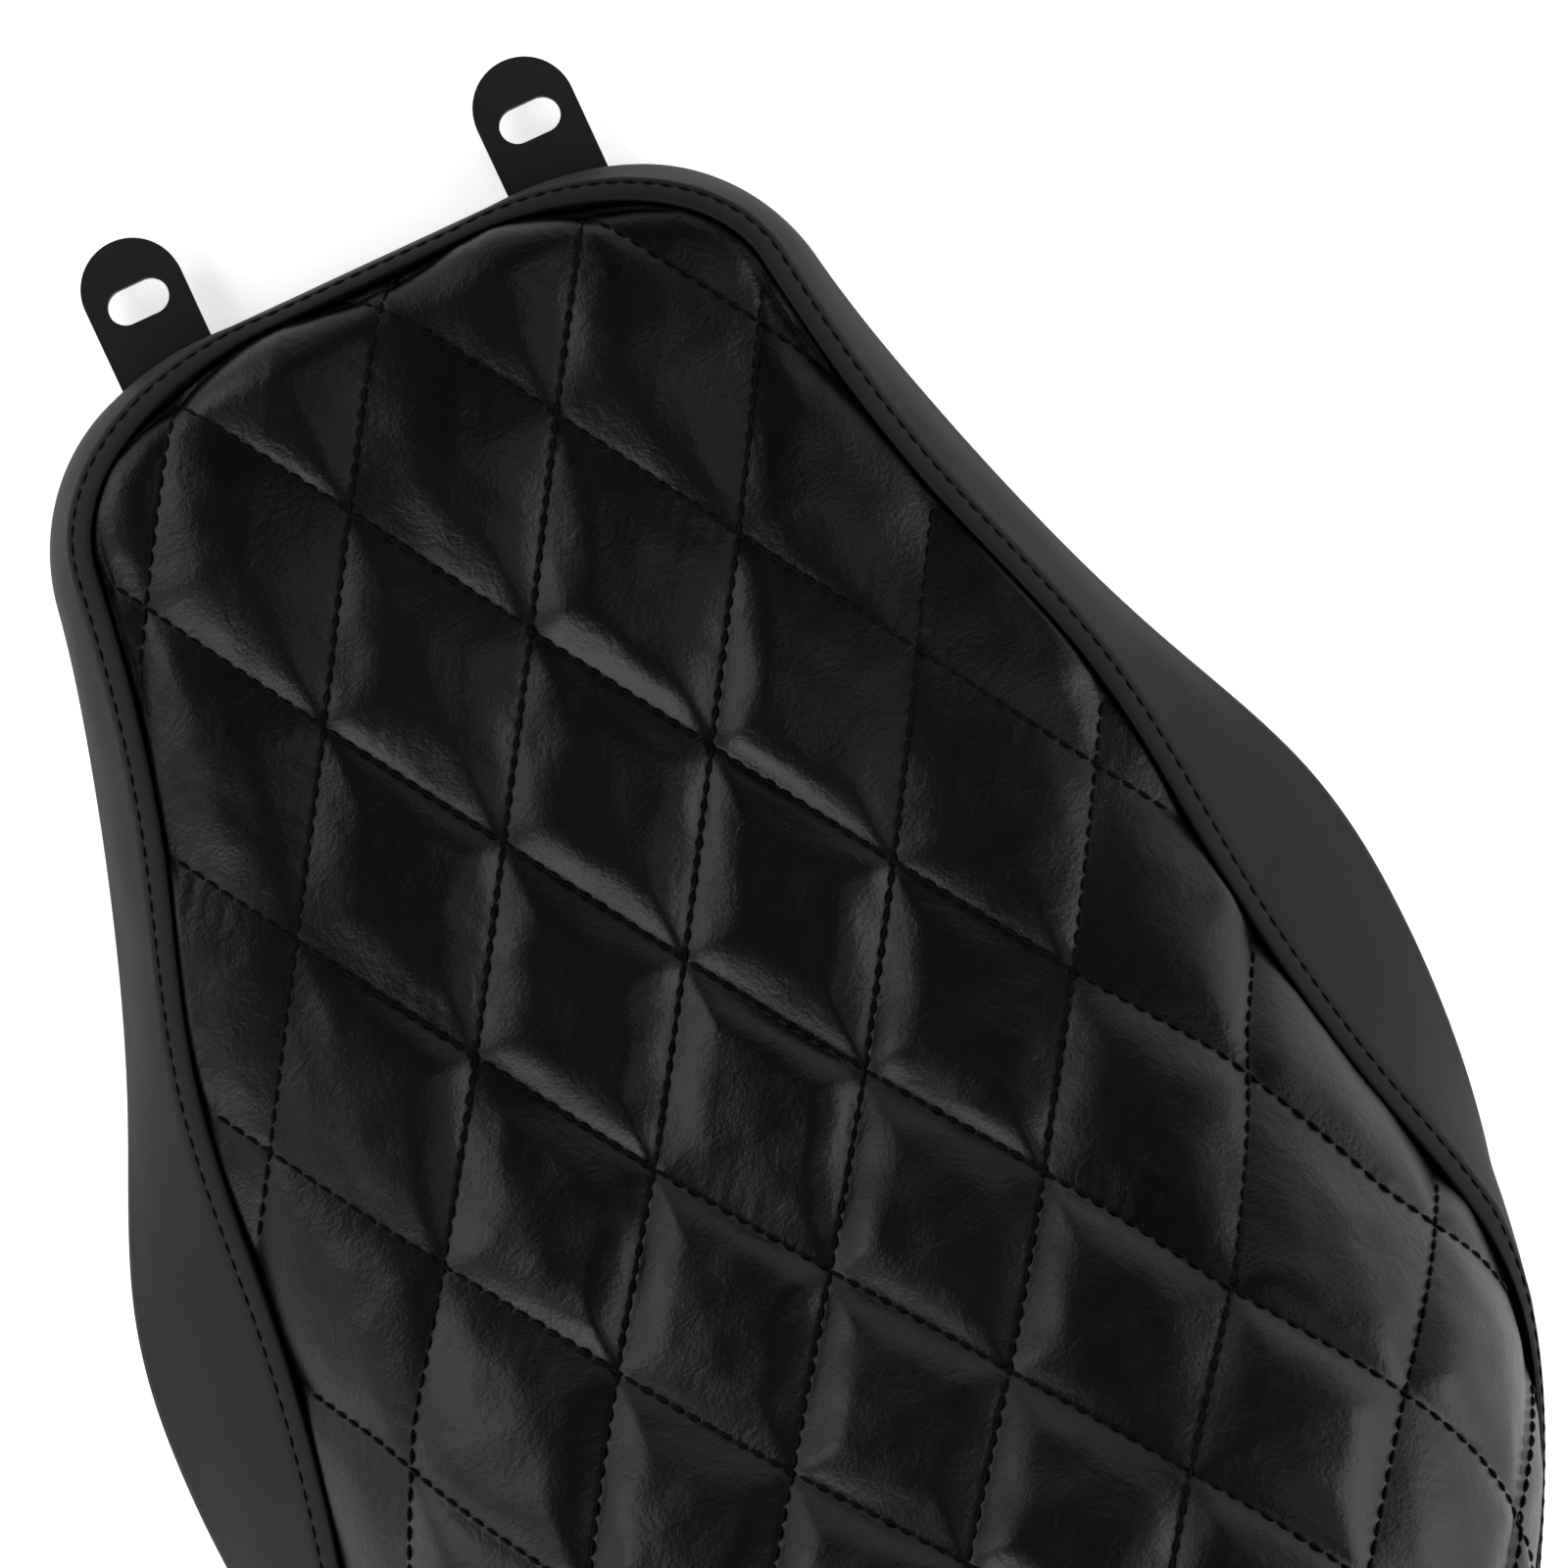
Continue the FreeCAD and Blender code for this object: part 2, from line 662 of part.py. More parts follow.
washer_low = -size("tab_thick") - size("washer_thick")
grip = COVER + size("pan_thick") + 3 * GAP
nut_low = grip + size("plate_thick")
web_low = UNDER_HEM - size("bumper_web")
rivets = rivet_places()
bumper_spots = [upright(x, at, web_low) for x, at in BUMPERS.values()]
for end, spots in (("front", front_spots), ("rear", tail_spots)):
    keep_group(f"{end}_tab_screws", screw, lifted(spots, washer_low))
    keep_group(f"{end}_tab_washers", washer, lifted(spots, washer_low))
    keep_group(f"{end}_tab_nuts", nut, lifted(spots, nut_low))
keep_group("hem_rivets", rivet, rivets)
keep_group("bumper_screws", tapping, bumper_spots)

# ------------------------------------------------------------ pan, foam and covers
lined = COVER + GAP
pan_room = lined + size("pan_thick")
quilt_room = lined + size("quilt_thick")
inside = hull(COVER, COVER, COVER, COVER)
lining = hull(lined, lined, lined, lined)
under_quilt = hull(pan_room, quilt_room, quilt_room, pan_room)
shell = between(hull(0, 0, 0, 0), inside)
under_cover = below_seam(-size("lap_lift"))

through = pan_room + 4 * GAP
screw_bore = size("screw_shank") / 2 + size("shank_clear")
rivet_bore = size("rivet_shank") / 2 + size("bore_clear")
tapping_bore = size("tapping_shank") / 2 + size("bore_clear")
screw_bores = [post(place, screw_bore, -1, through) for place in front_spots + tail_spots]
rivet_bores = [post(place, rivet_bore, -1, through) for place in rivets]
tapping_bores = [post(place, tapping_bore, 0, through + size("bumper_web"))
                 for place in bumper_spots]


def make_pan():
    """A tray: the plate under the foam and a low wall round it."""
    tray = between(lining, hull(*[pan_room] * 4)).cut(above_pan(size("pan_wall")))
    return tray.cut(screw_bores + rivet_bores + tapping_bores)


def make_main_foam():
    """The cushion, with pockets for what stands up from the pan."""
    room = size("pocket_clear")
    nut_room = size("nut_flats") / math.sqrt(3) + room
    nut_deep = nut_low + size("nut_tall") + size("screw_proud") + room
    tail_room = size("rivet_tail") / 2 + room
    tail_deep = grip + size("rivet_tail_tall") + room
    tapping_deep = size("tapping_reach") + room
    pockets = [post(place, nut_room, 0, nut_deep) for place in front_spots + tail_spots]
    pockets += [post(place, tail_room, 0, tail_deep) for place in rivets]
    pockets += [post(place, tapping_bore, 0, tapping_deep) for place in bumper_spots]
    foam_room = pan_room + GAP
    cushion = hull(foam_room, quilt_room + GAP, quilt_room + GAP, foam_room)
    return cushion.cut(pockets + [front_plate.Shape, rear_plate.Shape])


def hem_inside(inset):
    """The underside's skin zone within the hem, moved inwards."""
    return rim_prism(size("hem_width") + inset).cut(above_pan(size("pan_thick") / 2))


def make_side_band():
    """The wall round the foam, with its lap at the seam and its hem under the pan."""
    wall = between(hull(0, 0, 0, 0, size("lap_thick")), inside)
    wall = wall.common(below_seam(-size("lap_lift") - GAP))
    return wall.cut([hem_inside(0)] + rivet_bores)


def make_liner():
    """The sheet that covers the underside between the hems."""
    return shell.common(hem_inside(GAP)).cut(screw_bores + tapping_bores)


keep_shape("seat_pan", make_pan())
keep_shape("main_foam", make_main_foam())
keep_shape("quilt_foam", lining.cut(under_cover).cut(under_quilt))
keep_shape("top_cover", shell.cut(under_cover))
keep_shape("side_band", make_side_band())
keep_shape("underside_liner", make_liner())

# ------------------------------------------------------------ check and write
doc.recompute()
for thing in doc.Objects:
    if "Invalid" in thing.State or "Error" in thing.State:
        raise RuntimeError(f"{thing.Label} did not compute: {thing.State}")
for label, thing in PARTS.items():
    if thing.Shape.isNull() or not thing.Shape.isValid():
        raise RuntimeError(f"{label} has no valid shape")
os.makedirs("parts", exist_ok=True)
for label, thing in PARTS.items():
    thing.Shape.exportStep(f"parts/{label}.step")
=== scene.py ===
import math

import bpy
import numpy as np
from mathutils import Matrix, Vector
from mathutils.kdtree import KDTree


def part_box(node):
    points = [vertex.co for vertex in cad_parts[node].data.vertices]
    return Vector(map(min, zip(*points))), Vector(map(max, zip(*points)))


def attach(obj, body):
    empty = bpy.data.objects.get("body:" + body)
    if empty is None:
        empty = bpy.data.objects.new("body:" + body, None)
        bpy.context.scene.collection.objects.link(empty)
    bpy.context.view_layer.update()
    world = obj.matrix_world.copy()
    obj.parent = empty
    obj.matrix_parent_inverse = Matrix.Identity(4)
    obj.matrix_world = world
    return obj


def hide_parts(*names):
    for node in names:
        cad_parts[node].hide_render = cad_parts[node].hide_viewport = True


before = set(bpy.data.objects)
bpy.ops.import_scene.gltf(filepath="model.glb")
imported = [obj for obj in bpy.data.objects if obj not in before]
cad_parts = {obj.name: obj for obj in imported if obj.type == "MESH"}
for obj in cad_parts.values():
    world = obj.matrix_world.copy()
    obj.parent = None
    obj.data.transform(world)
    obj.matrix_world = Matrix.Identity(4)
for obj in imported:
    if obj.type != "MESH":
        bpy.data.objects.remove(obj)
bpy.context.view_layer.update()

# Lengths are in millimetres until a mesh is made. A station is the distance from
# the nose edge towards the tail; x and z are the frame's own.
MM = 0.001
UP = np.array([0.0, 0.0, 1.0])

# ---------------------------------------------------------------- the seat's outline
PAN_LOW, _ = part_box("seat_pan")
BAND_LOW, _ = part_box("side_band")
COVER_THICK = 1.2
NOSE_Y = BAND_LOW.y / MM
LENGTH = 482.0
PAN_Z = PAN_LOW.z / MM
BEND_START, BEND_RADIUS, BEND = 310.0, 300.0, math.radians(15)
TAIL_START = 250.0
NOSE_CORNER, SEAM_CORNER, SEAM_CORNER_WIDE = 42.0, 40.0, 58.0
NOSE_LEAN, LEAN_END = 5.5, 60.0
NOSE_ROUNDING, TAIL_ROUNDING = 15.0, 92.0
EDGE_POWER = 0.75

# (station, value) pairs, as in the CAD model
RIM_FLANK = ((0, 96), (47, 101.7), (75, 108.3), (118, 121.3), (160, 137.5), (203, 155.8),
             (231, 161), (260, 161.8), (300, 161), (345, 157), (400, 150.5), (482, 149))
SEAM_FLANK = ((0, 82.5), (46, 87.2), (104, 98.8), (160, 115.7), (217, 122), (245, 125.8),
              (274, 132.5), (302, 143), (331, 152.5), (360, 154), (400, 149.5), (482, 148))
SEAM_HEIGHT = ((0, 36.5), (60, 39), (120, 41.5), (180, 45), (240, 49), (280, 49.5), (320, 48),
               (350, 48), (380, 51), (420, 58), (450, 65), (482, 72))
CROWN_HEIGHT = ((0, 45), (40, 47), (80, 48.5), (120, 51), (160, 56), (200, 64.5),
                (240, 80.5), (280, 102), (320, 125), (355, 141), (390, 150), (420, 152),
                (450, 150), (482, 146))
SQUARENESS = ((0, 5), (60, 5), (150, 5.4), (200, 5.2), (250, 4.4), (300, 3.2), (340, 2.7),
              (390, 2.4), (482, 2.2))
BELLY = ((0, 0), (300, 0), (340, 3), (390, 6), (440, 7), (482, 6))


def spline(table):
    """A natural cubic spline through a table, as a function of an array."""
    xs, ys = np.array(table, float).T
    step = np.diff(xs)
    slope = np.diff(ys) / step
    count = len(xs)
    system, rhs = np.eye(count), np.zeros(count)
    for i in range(1, count - 1):
        system[i, i - 1:i + 2] = step[i - 1], 2 * (step[i - 1] + step[i]), step[i]
        rhs[i] = 6 * (slope[i] - slope[i - 1])
    bend = np.linalg.solve(system, rhs)

    def value(at):
        at = np.clip(at, xs[0], xs[-1])
        i = np.clip(np.searchsorted(xs, at) - 1, 0, count - 2)
        a, b, h = xs[i + 1] - at, at - xs[i], step[i]
        curve = (bend[i] * a**3 + bend[i + 1] * b**3) / (6 * h)
        low, high = ys[i] / h - bend[i] * h / 6, ys[i + 1] / h - bend[i + 1] * h / 6
        return curve + low * a + high * b

    return value


rim_flank, seam_flank = spline(RIM_FLANK), spline(SEAM_FLANK)
seam_height, crown_height = spline(SEAM_HEIGHT), spline(CROWN_HEIGHT)
squareness, belly = spline(SQUARENESS), spline(BELLY)


def round_off(gap, radius):
    """0 at the end of a rounded edge, rising along a quarter circle to 1."""
    share = np.clip(gap / radius, 0.0, 1.0)
    return np.sqrt(1 - (1 - share) ** 2)


def half_width(flank, wide, deep, at):
    """Half-width of an outline whose nose corners are wide by deep, with a round tail."""
    nose = wide * (1 - round_off(at, deep))
    return (flank(at) - nose) * round_off(LENGTH - at, LENGTH - TAIL_START)


def rim_half(at):
    """Half-width of the rim, round the pan."""
    return half_width(rim_flank, NOSE_CORNER, NOSE_CORNER, at)


def seam_half(at):
    """Half-width of the seam between the top cover and the band."""
    return half_width(seam_flank, SEAM_CORNER_WIDE, SEAM_CORNER, at)


def pan_rise(at):
    """Height of the pan's underside: flat, then an arc, then a straight slope."""
    end = BEND_START + BEND_RADIUS * math.sin(BEND)
    arc = BEND_RADIUS - np.sqrt(BEND_RADIUS**2 - np.clip(at - BEND_START, 0, end - BEND_START) ** 2)
    return PAN_Z + arc + np.maximum(at - end, 0) * math.tan(BEND)


def leaned(x, at, z):
    """A point of the body in the frame, with the nose's front face leaning back."""
    low = pan_rise(at) - COVER_THICK
    lean = NOSE_LEAN * np.clip(1 - at / LEAN_END, 0, 1) ** 2
    return np.stack([x, NOSE_Y + at + lean * (z - low) / (seam_height(at) - low), z], -1)


def top_point(at, across):
    """The cover's smooth top face; across runs from -1 to 1 between the seams."""
    ends = round_off(at, NOSE_ROUNDING) * round_off(LENGTH - at, TAIL_ROUNDING)
    share = np.clip(1 - np.abs(across) ** squareness(at), 0, 1) ** EDGE_POWER
    bulge = np.sign(across) * 4 * share * (1 - share) * belly(at) * ends
    edge = seam_height(at)
    rise = (crown_height(at) - edge) * ends
    return leaned(across * seam_half(at) + bulge, at, edge + rise * share)


# ---------------------------------------------------------------- mesh helpers
def grid_faces(rows, columns, wrap=False):
    """Quads of a grid whose vertices are stored row by row."""
    r = np.arange(rows - 1)[:, None]
    c = np.arange(columns if wrap else columns - 1)[None, :]
    nxt = (c + 1) % columns
    quads = np.stack([r * columns + c, r * columns + nxt,
                      (r + 1) * columns + nxt, (r + 1) * columns + c], -1)
    return quads.reshape(-1, 4)


def normals_of(grid):
    """Unit normals of a grid of points."""
    along, across = np.gradient(grid, axis=0), np.gradient(grid, axis=1)
    normal = np.cross(across, along)
    return normal / np.maximum(np.linalg.norm(normal, axis=-1, keepdims=True), 1e-9)


def add_piece(name, verts, faces, material):
    """A mesh piece, given in millimetres, that rides on the root body."""
    mesh = bpy.data.meshes.new(name)
    verts = np.asarray(verts, float).reshape(-1, 3) * MM
    mesh.from_pydata(verts.tolist(), [], [list(map(int, f)) for f in faces])
    mesh.materials.append(material)
    mesh.polygons.foreach_set("use_smooth", [True] * len(mesh.polygons))
    mesh.update()
    piece = bpy.data.objects.new(name, mesh)
    bpy.context.scene.collection.objects.link(piece)
    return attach(piece, "root")


def run_along(points):
    """Length along a polyline at each of its points."""
    steps = np.linalg.norm(np.diff(points, axis=0), axis=1)
    return np.concatenate([[0], np.cumsum(steps)])


def at_runs(points, run, want):
    """The values of a polyline's points at the wanted lengths along it."""
    return np.stack([np.interp(want, run, column) for column in points.T], -1)


def even(points, count):
    """A polyline resampled at even steps."""
    run = run_along(points)
    return at_runs(points, run, np.linspace(0, run[-1], count))


def at_shares(points, shares):
    """A polyline's points at shares of its length."""
    run = run_along(points)
    return at_runs(points, run, shares * run[-1])


def resample(lines, count):
    """Points at even steps of length along each row of an array of points.

    The first three values of a point are its place; the others are carried along.
    """
    step = np.linalg.norm(np.diff(lines[..., :3], axis=1), axis=-1)
    run = np.concatenate([np.zeros((len(lines), 1)), np.cumsum(step, axis=1)], axis=1)
    out = np.empty((len(lines), count, lines.shape[2]))
    for k, line in enumerate(lines):
        out[k] = at_runs(line, run[k], np.linspace(0, run[k, -1], count))
    return out


# ---------------------------------------------------------------- materials
def new_material(name, color, roughness, **sockets):
    """A Principled material with constant sockets; returns it and its shader."""
    material = bpy.data.materials.new(name)
    material.use_nodes = True
    shader = material.node_tree.nodes["Principled BSDF"]
    shader.inputs["Base Color"].default_value = (*color, 1)
    shader.inputs["Roughness"].default_value = roughness
    for socket, value in sockets.items():
        shader.inputs[socket.replace("_", " ")].default_value = value
    return material, shader


def link(material, source, target):
    """Joins an output to an input."""
    material.node_tree.links.new(source, target)


def noise(material, scale, detail=4.0, kind="ShaderNodeTexNoise"):
    """A noise in object space; scale is in cells a metre."""
    nodes = material.node_tree.nodes
    place = nodes.new("ShaderNodeTexCoord")
    texture = nodes.new(kind)
    texture.inputs["Scale"].default_value = scale
    if "Detail" in texture.inputs:
        texture.inputs["Detail"].default_value = detail
    link(material, place.outputs["Object"], texture.inputs["Vector"])
    return texture


def spread(material, value, low, high):
    """Maps a 0 to 1 value on low to high."""
    node = material.node_tree.nodes.new("ShaderNodeMapRange")
    node.inputs["To Min"].default_value = low
    node.inputs["To Max"].default_value = high
    link(material, value, node.inputs["Value"])
    return node.outputs["Result"]


def bump(material, height, distance, strength=1.0, base=None):
    """A bump of some depth in metres, over another one if there is one."""
    node = material.node_tree.nodes.new("ShaderNodeBump")
    node.inputs["Distance"].default_value = distance
    node.inputs["Strength"].default_value = strength
    link(material, height, node.inputs["Height"])
    if base is not None:
        link(material, base, node.inputs["Normal"])
    return node.outputs["Normal"]


def blend_color(material, share, first, second):
    """A mix of two colours by a 0 to 1 value."""
    node = material.node_tree.nodes.new("ShaderNodeMix")
    node.data_type = "RGBA"
    node.inputs["A"].default_value = (*first, 1)
    node.inputs["B"].default_value = (*second, 1)
    link(material, share, node.inputs["Factor"])
    return node.outputs["Result"]


def vinyl(name, tone, roughness, specular, grain):
    """Black upholstery vinyl: fine pebbled grain, soft creases and a satin gloss."""
    material, shader = new_material(name, (tone, tone, tone), roughness,
                                    Specular_IOR_Level=specular)
    pebble = noise(material, 900.0, kind="ShaderNodeTexVoronoi")
    pores = noise(material, 2600.0, 3.0)
    cloud = noise(material, 22.0, 5.0)
    crease = noise(material, 160.0, 7.0)
    crease.inputs["Distortion"].default_value = 1.6
    folds = bump(material, crease.outputs["Fac"], 0.0008, grain)
    coarse = bump(material, pebble.outputs["Distance"], 0.0002, grain, folds)
    fine = bump(material, pores.outputs["Fac"], 0.00005, grain, coarse)
    link(material, fine, shader.inputs["Normal"])
    link(material, spread(material, cloud.outputs["Fac"], roughness - 0.07, roughness + 0.07),
         shader.inputs["Roughness"])
    darker, lighter = (0.7 * tone,) * 3, (1.4 * tone,) * 3
    link(material, blend_color(material, cloud.outputs["Fac"], darker, lighter),
         shader.inputs["Base Color"])
    return material


def thread():
    """Bonded polyester thread, black, with a fine twist."""
    material, shader = new_material("thread", (0.002, 0.002, 0.002), 0.6,
                                    Specular_IOR_Level=0.06)
    twist = noise(material, 3500.0, 2.0)
    link(material, bump(material, twist.outputs["Fac"], 0.00008, 0.7), shader.inputs["Normal"])
    link(material, spread(material, twist.outputs["Fac"], 0.5, 0.7), shader.inputs["Roughness"])
    return material


def powder_coat(name, color):
    """Matt powder coat: a fine orange peel with dust-fine speckle."""
    material, shader = new_material(name, color, 0.55, Specular_IOR_Level=0.3)
    peel = noise(material, 1500.0, 2.0)
    speck = noise(material, 5200.0, 1.0)
    worn = noise(material, 60.0, 6.0)
    first = bump(material, peel.outputs["Fac"], 0.0001, 0.5)
    link(material, bump(material, speck.outputs["Fac"], 0.00003, 0.5, first), shader.inputs["Normal"])
    link(material, spread(material, worn.outputs["Fac"], 0.48, 0.64), shader.inputs["Roughness"])
    lighter = tuple(min(1.0, c * 1.5) for c in color)
    link(material, blend_color(material, worn.outputs["Fac"], color, lighter),
         shader.inputs["Base Color"])
    return material


def plain_metal(name, color, roughness):
    """Bare or plated metal with a soft scratch pattern."""
    material, shader = new_material(name, color, roughness, Metallic=1.0)
    scratch = noise(material, 400.0, 6.0)
    link(material, spread(material, scratch.outputs["Fac"], roughness - 0.1, roughness + 0.14),
         shader.inputs["Roughness"])
    link(material, bump(material, scratch.outputs["Fac"], 0.00004, 0.4), shader.inputs["Normal"])
    return material


def felt():
    """Needled black felt: short matted fibres."""
    material, shader = new_material("liner_felt", (0.02, 0.02, 0.022), 0.95,
                                    Sheen_Weight=0.35, Sheen_Roughness=0.7,
                                    Specular_IOR_Level=0.15)
    fibre = noise(material, 1400.0, 6.0)
    clump = noise(material, 160.0, 5.0)
    low = bump(material, clump.outputs["Fac"], 0.0006, 0.5)
    link(material, bump(material, fibre.outputs["Fac"], 0.0004, 0.9, low), shader.inputs["Normal"])
    link(material, blend_color(material, clump.outputs["Fac"], (0.012, 0.012, 0.013),
                               (0.045, 0.045, 0.048)), shader.inputs["Base Color"])
    return material


def rubber():
    """Moulded black rubber with a faint bloom."""
    material, shader = new_material("bumper_rubber", (0.014, 0.014, 0.014), 0.7,
                                    Specular_IOR_Level=0.4)
    bloom = noise(material, 240.0, 5.0)
    link(material, spread(material, bloom.outputs["Fac"], 0.58, 0.82), shader.inputs["Roughness"])
    link(material, blend_color(material, bloom.outputs["Fac"], (0.01, 0.01, 0.01),
                               (0.03, 0.03, 0.03)), shader.inputs["Base Color"])
    link(material, bump(material, bloom.outputs["Fac"], 0.00008, 0.5), shader.inputs["Normal"])
    return material


def foam(name, color):
    """Open-cell foam."""
    material, shader = new_material(name, color, 0.95, Specular_IOR_Level=0.2)
    cells = noise(material, 700.0, kind="ShaderNodeTexVoronoi")
    link(material, bump(material, cells.outputs["Distance"], 0.0006, 0.8), shader.inputs["Normal"])
    darker = tuple(c * 0.75 for c in color)
    link(material, blend_color(material, cells.outputs["Distance"], darker, color),
         shader.inputs["Base Color"])
    return material


VINYL = vinyl("cover_vinyl", 0.0014, 0.34, 0.26, 0.24)
# the band's base tone, lighter than the cover's, is painted light: it stands in for the brighter
# sheen that the outward-facing sides catch
BAND_VINYL = vinyl("band_vinyl", 0.012, 0.61, 0.10, 0.16)
THREAD = thread()
CORE_FOAM = foam("foam_core", (0.72, 0.64, 0.42))
SHEET_FOAM = foam("foam_sheet", (0.30, 0.31, 0.33))
ZINC = plain_metal("zinc_steel", (0.60, 0.60, 0.58), 0.34)
# words in the names of the CAD nodes that show; the first that fits counts
NODE_MATERIALS = {
    "pan": powder_coat("pan_steel", (0.03, 0.03, 0.032)),
    "liner": felt(),
    "screws": plain_metal("screw_steel", (0.06, 0.06, 0.065), 0.36),
    "washers": ZINC,
    "nuts": ZINC,
    "plate": ZINC,
    "rivets": plain_metal("rivet_metal", (0.66, 0.66, 0.66), 0.30),
    "bumper": rubber(),
    "tab": powder_coat("tab_steel", (0.005, 0.005, 0.005)),
}

# ---------------------------------------------------------------- quilting
DIAMOND_HALF_WIDTH = 26.7
DIAMOND_HALF_LENGTH = 41.5
FIRST_NODE = 5.7
# lengths of cloth between the crossings on the centre line, from the first one back
NODE_STEPS = (42.0, 43.4, 42.2, 42.5, 41.7, 40.4, 39.7, 38.2) + 8 * (39.0,)
LINE_GAP = (DIAMOND_HALF_WIDTH * DIAMOND_HALF_LENGTH
            / math.hypot(DIAMOND_HALF_WIDTH, DIAMOND_HALF_LENGTH))
# a puff's depth and the width of its facets; both change towards the nose and the flanks
PUFF_DEPTH = 4.8
NOSE_PUFF = 0.8
BEVEL = 11.5
NOSE_BEVEL = 6.0
FULL_FROM, FULL_OVER = 20.0, 110.0
FLANK_START, FLANK_WIDTH = 0.40, 0.40
FLANK_CALM = 0.52
FLANK_BEVEL = 3.5
SHOULDER, NOSE_SHOULDER = 1.8, 1.9
MITRE = 3.5
DOMED, NOSE_DOMED = 0.20, 0.60
DOME_POWER = 1.5
# what makes the puffs differ: crooked facets, gathers, uneven tops and tilts
WANDER, WANDER_FADE = 0.7, 5.0
GATHER = 0.07
# how long a gather is drawn out, where it starts and how far it reaches from its stitch line
RIB_STRETCH, WRINKLE_START, WRINKLE_REACH = 0.18, 1.6, 4.5
UNEVEN, TILT, RUMPLE = 0.22, 3.2, 0.16
# how the cover is drawn down into the groove along the seam
EDGE_BEVEL = 2.4
EDGE_TUCK = 0.45
EDGE_POCKET = 0.9
EDGE_DROP = 1.0
# the share of a climb that counts as cloth across the seat, rising over the last puffs
CLIMB, CLIMB_FROM, CLIMB_OVER = 0.3, 320.0, 80.0
# how far the rows sweep back at a distance from the centre line, behind the waist
SWEEP, SWEEP_AT = 15.0, 123.0
SWEEP_FROM, SWEEP_OVER = 250.0, 45.0
# the table's stations stand closer together at the nose and the tail, over these lengths
TABLE_NOSE, TABLE_TAIL = 20, 42

table_at = np.concatenate([np.linspace(0, TABLE_NOSE, 60),
                           np.linspace(TABLE_NOSE + 0.5, LENGTH - TABLE_TAIL, 420),
                           LENGTH - TABLE_TAIL * (1 - np.linspace(0, 1, 160)[1:]) ** 2])
table_turn = np.linspace(0, math.pi / 2, 260)
table_points = top_point(table_at[:, None], np.sin(table_turn)[None, :])
climb = CLIMB + (1 - CLIMB) * np.clip((table_at - CLIMB_FROM) / CLIMB_OVER, 0, 1)
table_steps = np.diff(table_points, axis=1)
table_steps[..., 2] *= climb[:, None]
lateral = np.cumsum(np.linalg.norm(table_steps, axis=-1), axis=1)
lateral = np.concatenate([np.zeros((len(table_at), 1)), lateral], axis=1)
spine = run_along(table_points[:, 0])
# the crossings, numbered from one that would lie ahead of the nose
node_runs = np.interp(FIRST_NODE, table_at, spine)
node_runs = node_runs + np.cumsum((-NODE_STEPS[0], NODE_STEPS[0], *NODE_STEPS))
node_numbers = np.arange(-1, len(node_runs) - 1)


def look_up(at, across):
    """The lateral run of the cloth at a point, by interpolation in the table."""
    row = np.interp(at, table_at, np.arange(len(table_at)))
    column = np.arcsin(np.clip(np.abs(across), 0, 1)) / (math.pi / 2) * (len(table_turn) - 1)
    i = np.clip(row.astype(int), 0, len(table_at) - 2)
    j = np.clip(column.astype(int), 0, len(table_turn) - 2)
    fi, fj = row - i, column - j
    low = lateral[i, j] * (1 - fj) + lateral[i, j + 1] * fj
    high = lateral[i + 1, j] * (1 - fj) + lateral[i + 1, j + 1] * fj
    return np.sign(across) * (low * (1 - fi) + high * fi)


def sweep(at, x):
    """How far the quilting rows sweep back towards the flanks, behind the waist."""
    return SWEEP * (x / SWEEP_AT) ** 2 * np.clip((at - SWEEP_FROM) / SWEEP_OVER, 0, 1)


def cloth_place(at, across):
    """The two diagonal quilting coordinates; a stitch line lies on each even value."""
    side = look_up(at, across) / DIAMOND_HALF_WIDTH
    place = at - sweep(at, across * seam_half(at))
    along = np.interp(np.interp(place, table_at, spine), node_runs, node_numbers)
    return along + side, along - side


def line_distance(diagonal):
    """Distance to the nearest stitch line of one family."""
    return np.abs(diagonal - 2 * np.round(diagonal / 2)) * LINE_GAP


def swell(distance, reach, power):
    """0 in a stitched valley, rising as a facet whose shoulder rounds off to 1."""
    share = np.clip(distance / reach, 0, 1)
    return 1 - (1 - share) ** power


def waves(a, b, count, lowest, highest, seed):
    """A smooth random field made of sines, about -1 to 1."""
    source = np.random.default_rng(seed)
    total = np.zeros_like(a)
    for _ in range(count):
        turn = source.uniform(0, 2 * math.pi)
        pitch = source.uniform(lowest, highest)
        phase = source.uniform(0, 2 * math.pi)
        total += np.sin(2 * math.pi * (a * math.cos(turn) + b * math.sin(turn)) / pitch + phase)
    return total / math.sqrt(count)


def wrinkles(distance, along, across, seed):
    """Fine gathers that cross a stitch line and fade away from it."""
    rib = waves(along, across * RIB_STRETCH, 9, 3.2, 8.5, seed)
    patch = np.clip(0.5 + 0.5 * waves(along, across, 5, 24, 70, seed + 1), 0, 1.5)
    fade = np.exp(-distance / (WRINKLE_REACH + WRINKLE_REACH * patch))
    return rib * np.clip(distance / WRINKLE_START, 0, 1) * patch * fade


def uneven_top(first, second, a, b):
    """How each puff's top differs from the next: its height, its tilt and its rumples."""
    cell_a, cell_b = np.floor(first / 2), np.floor(second / 2)
    height = waves(cell_a * 7.3, cell_b * 5.1, 3, 9, 23, 5)
    tilt = (first / 2 - cell_a - 0.5) * waves(cell_a * 6.1, cell_b * 8.7, 3, 9, 23, 61)
    tilt += (second / 2 - cell_b - 0.5) * waves(cell_a * 9.9, cell_b * 4.3, 3, 9, 23, 67)
    return UNEVEN * height + TILT * tilt + RUMPLE * waves(a, b, 14, 9, 30, 57)


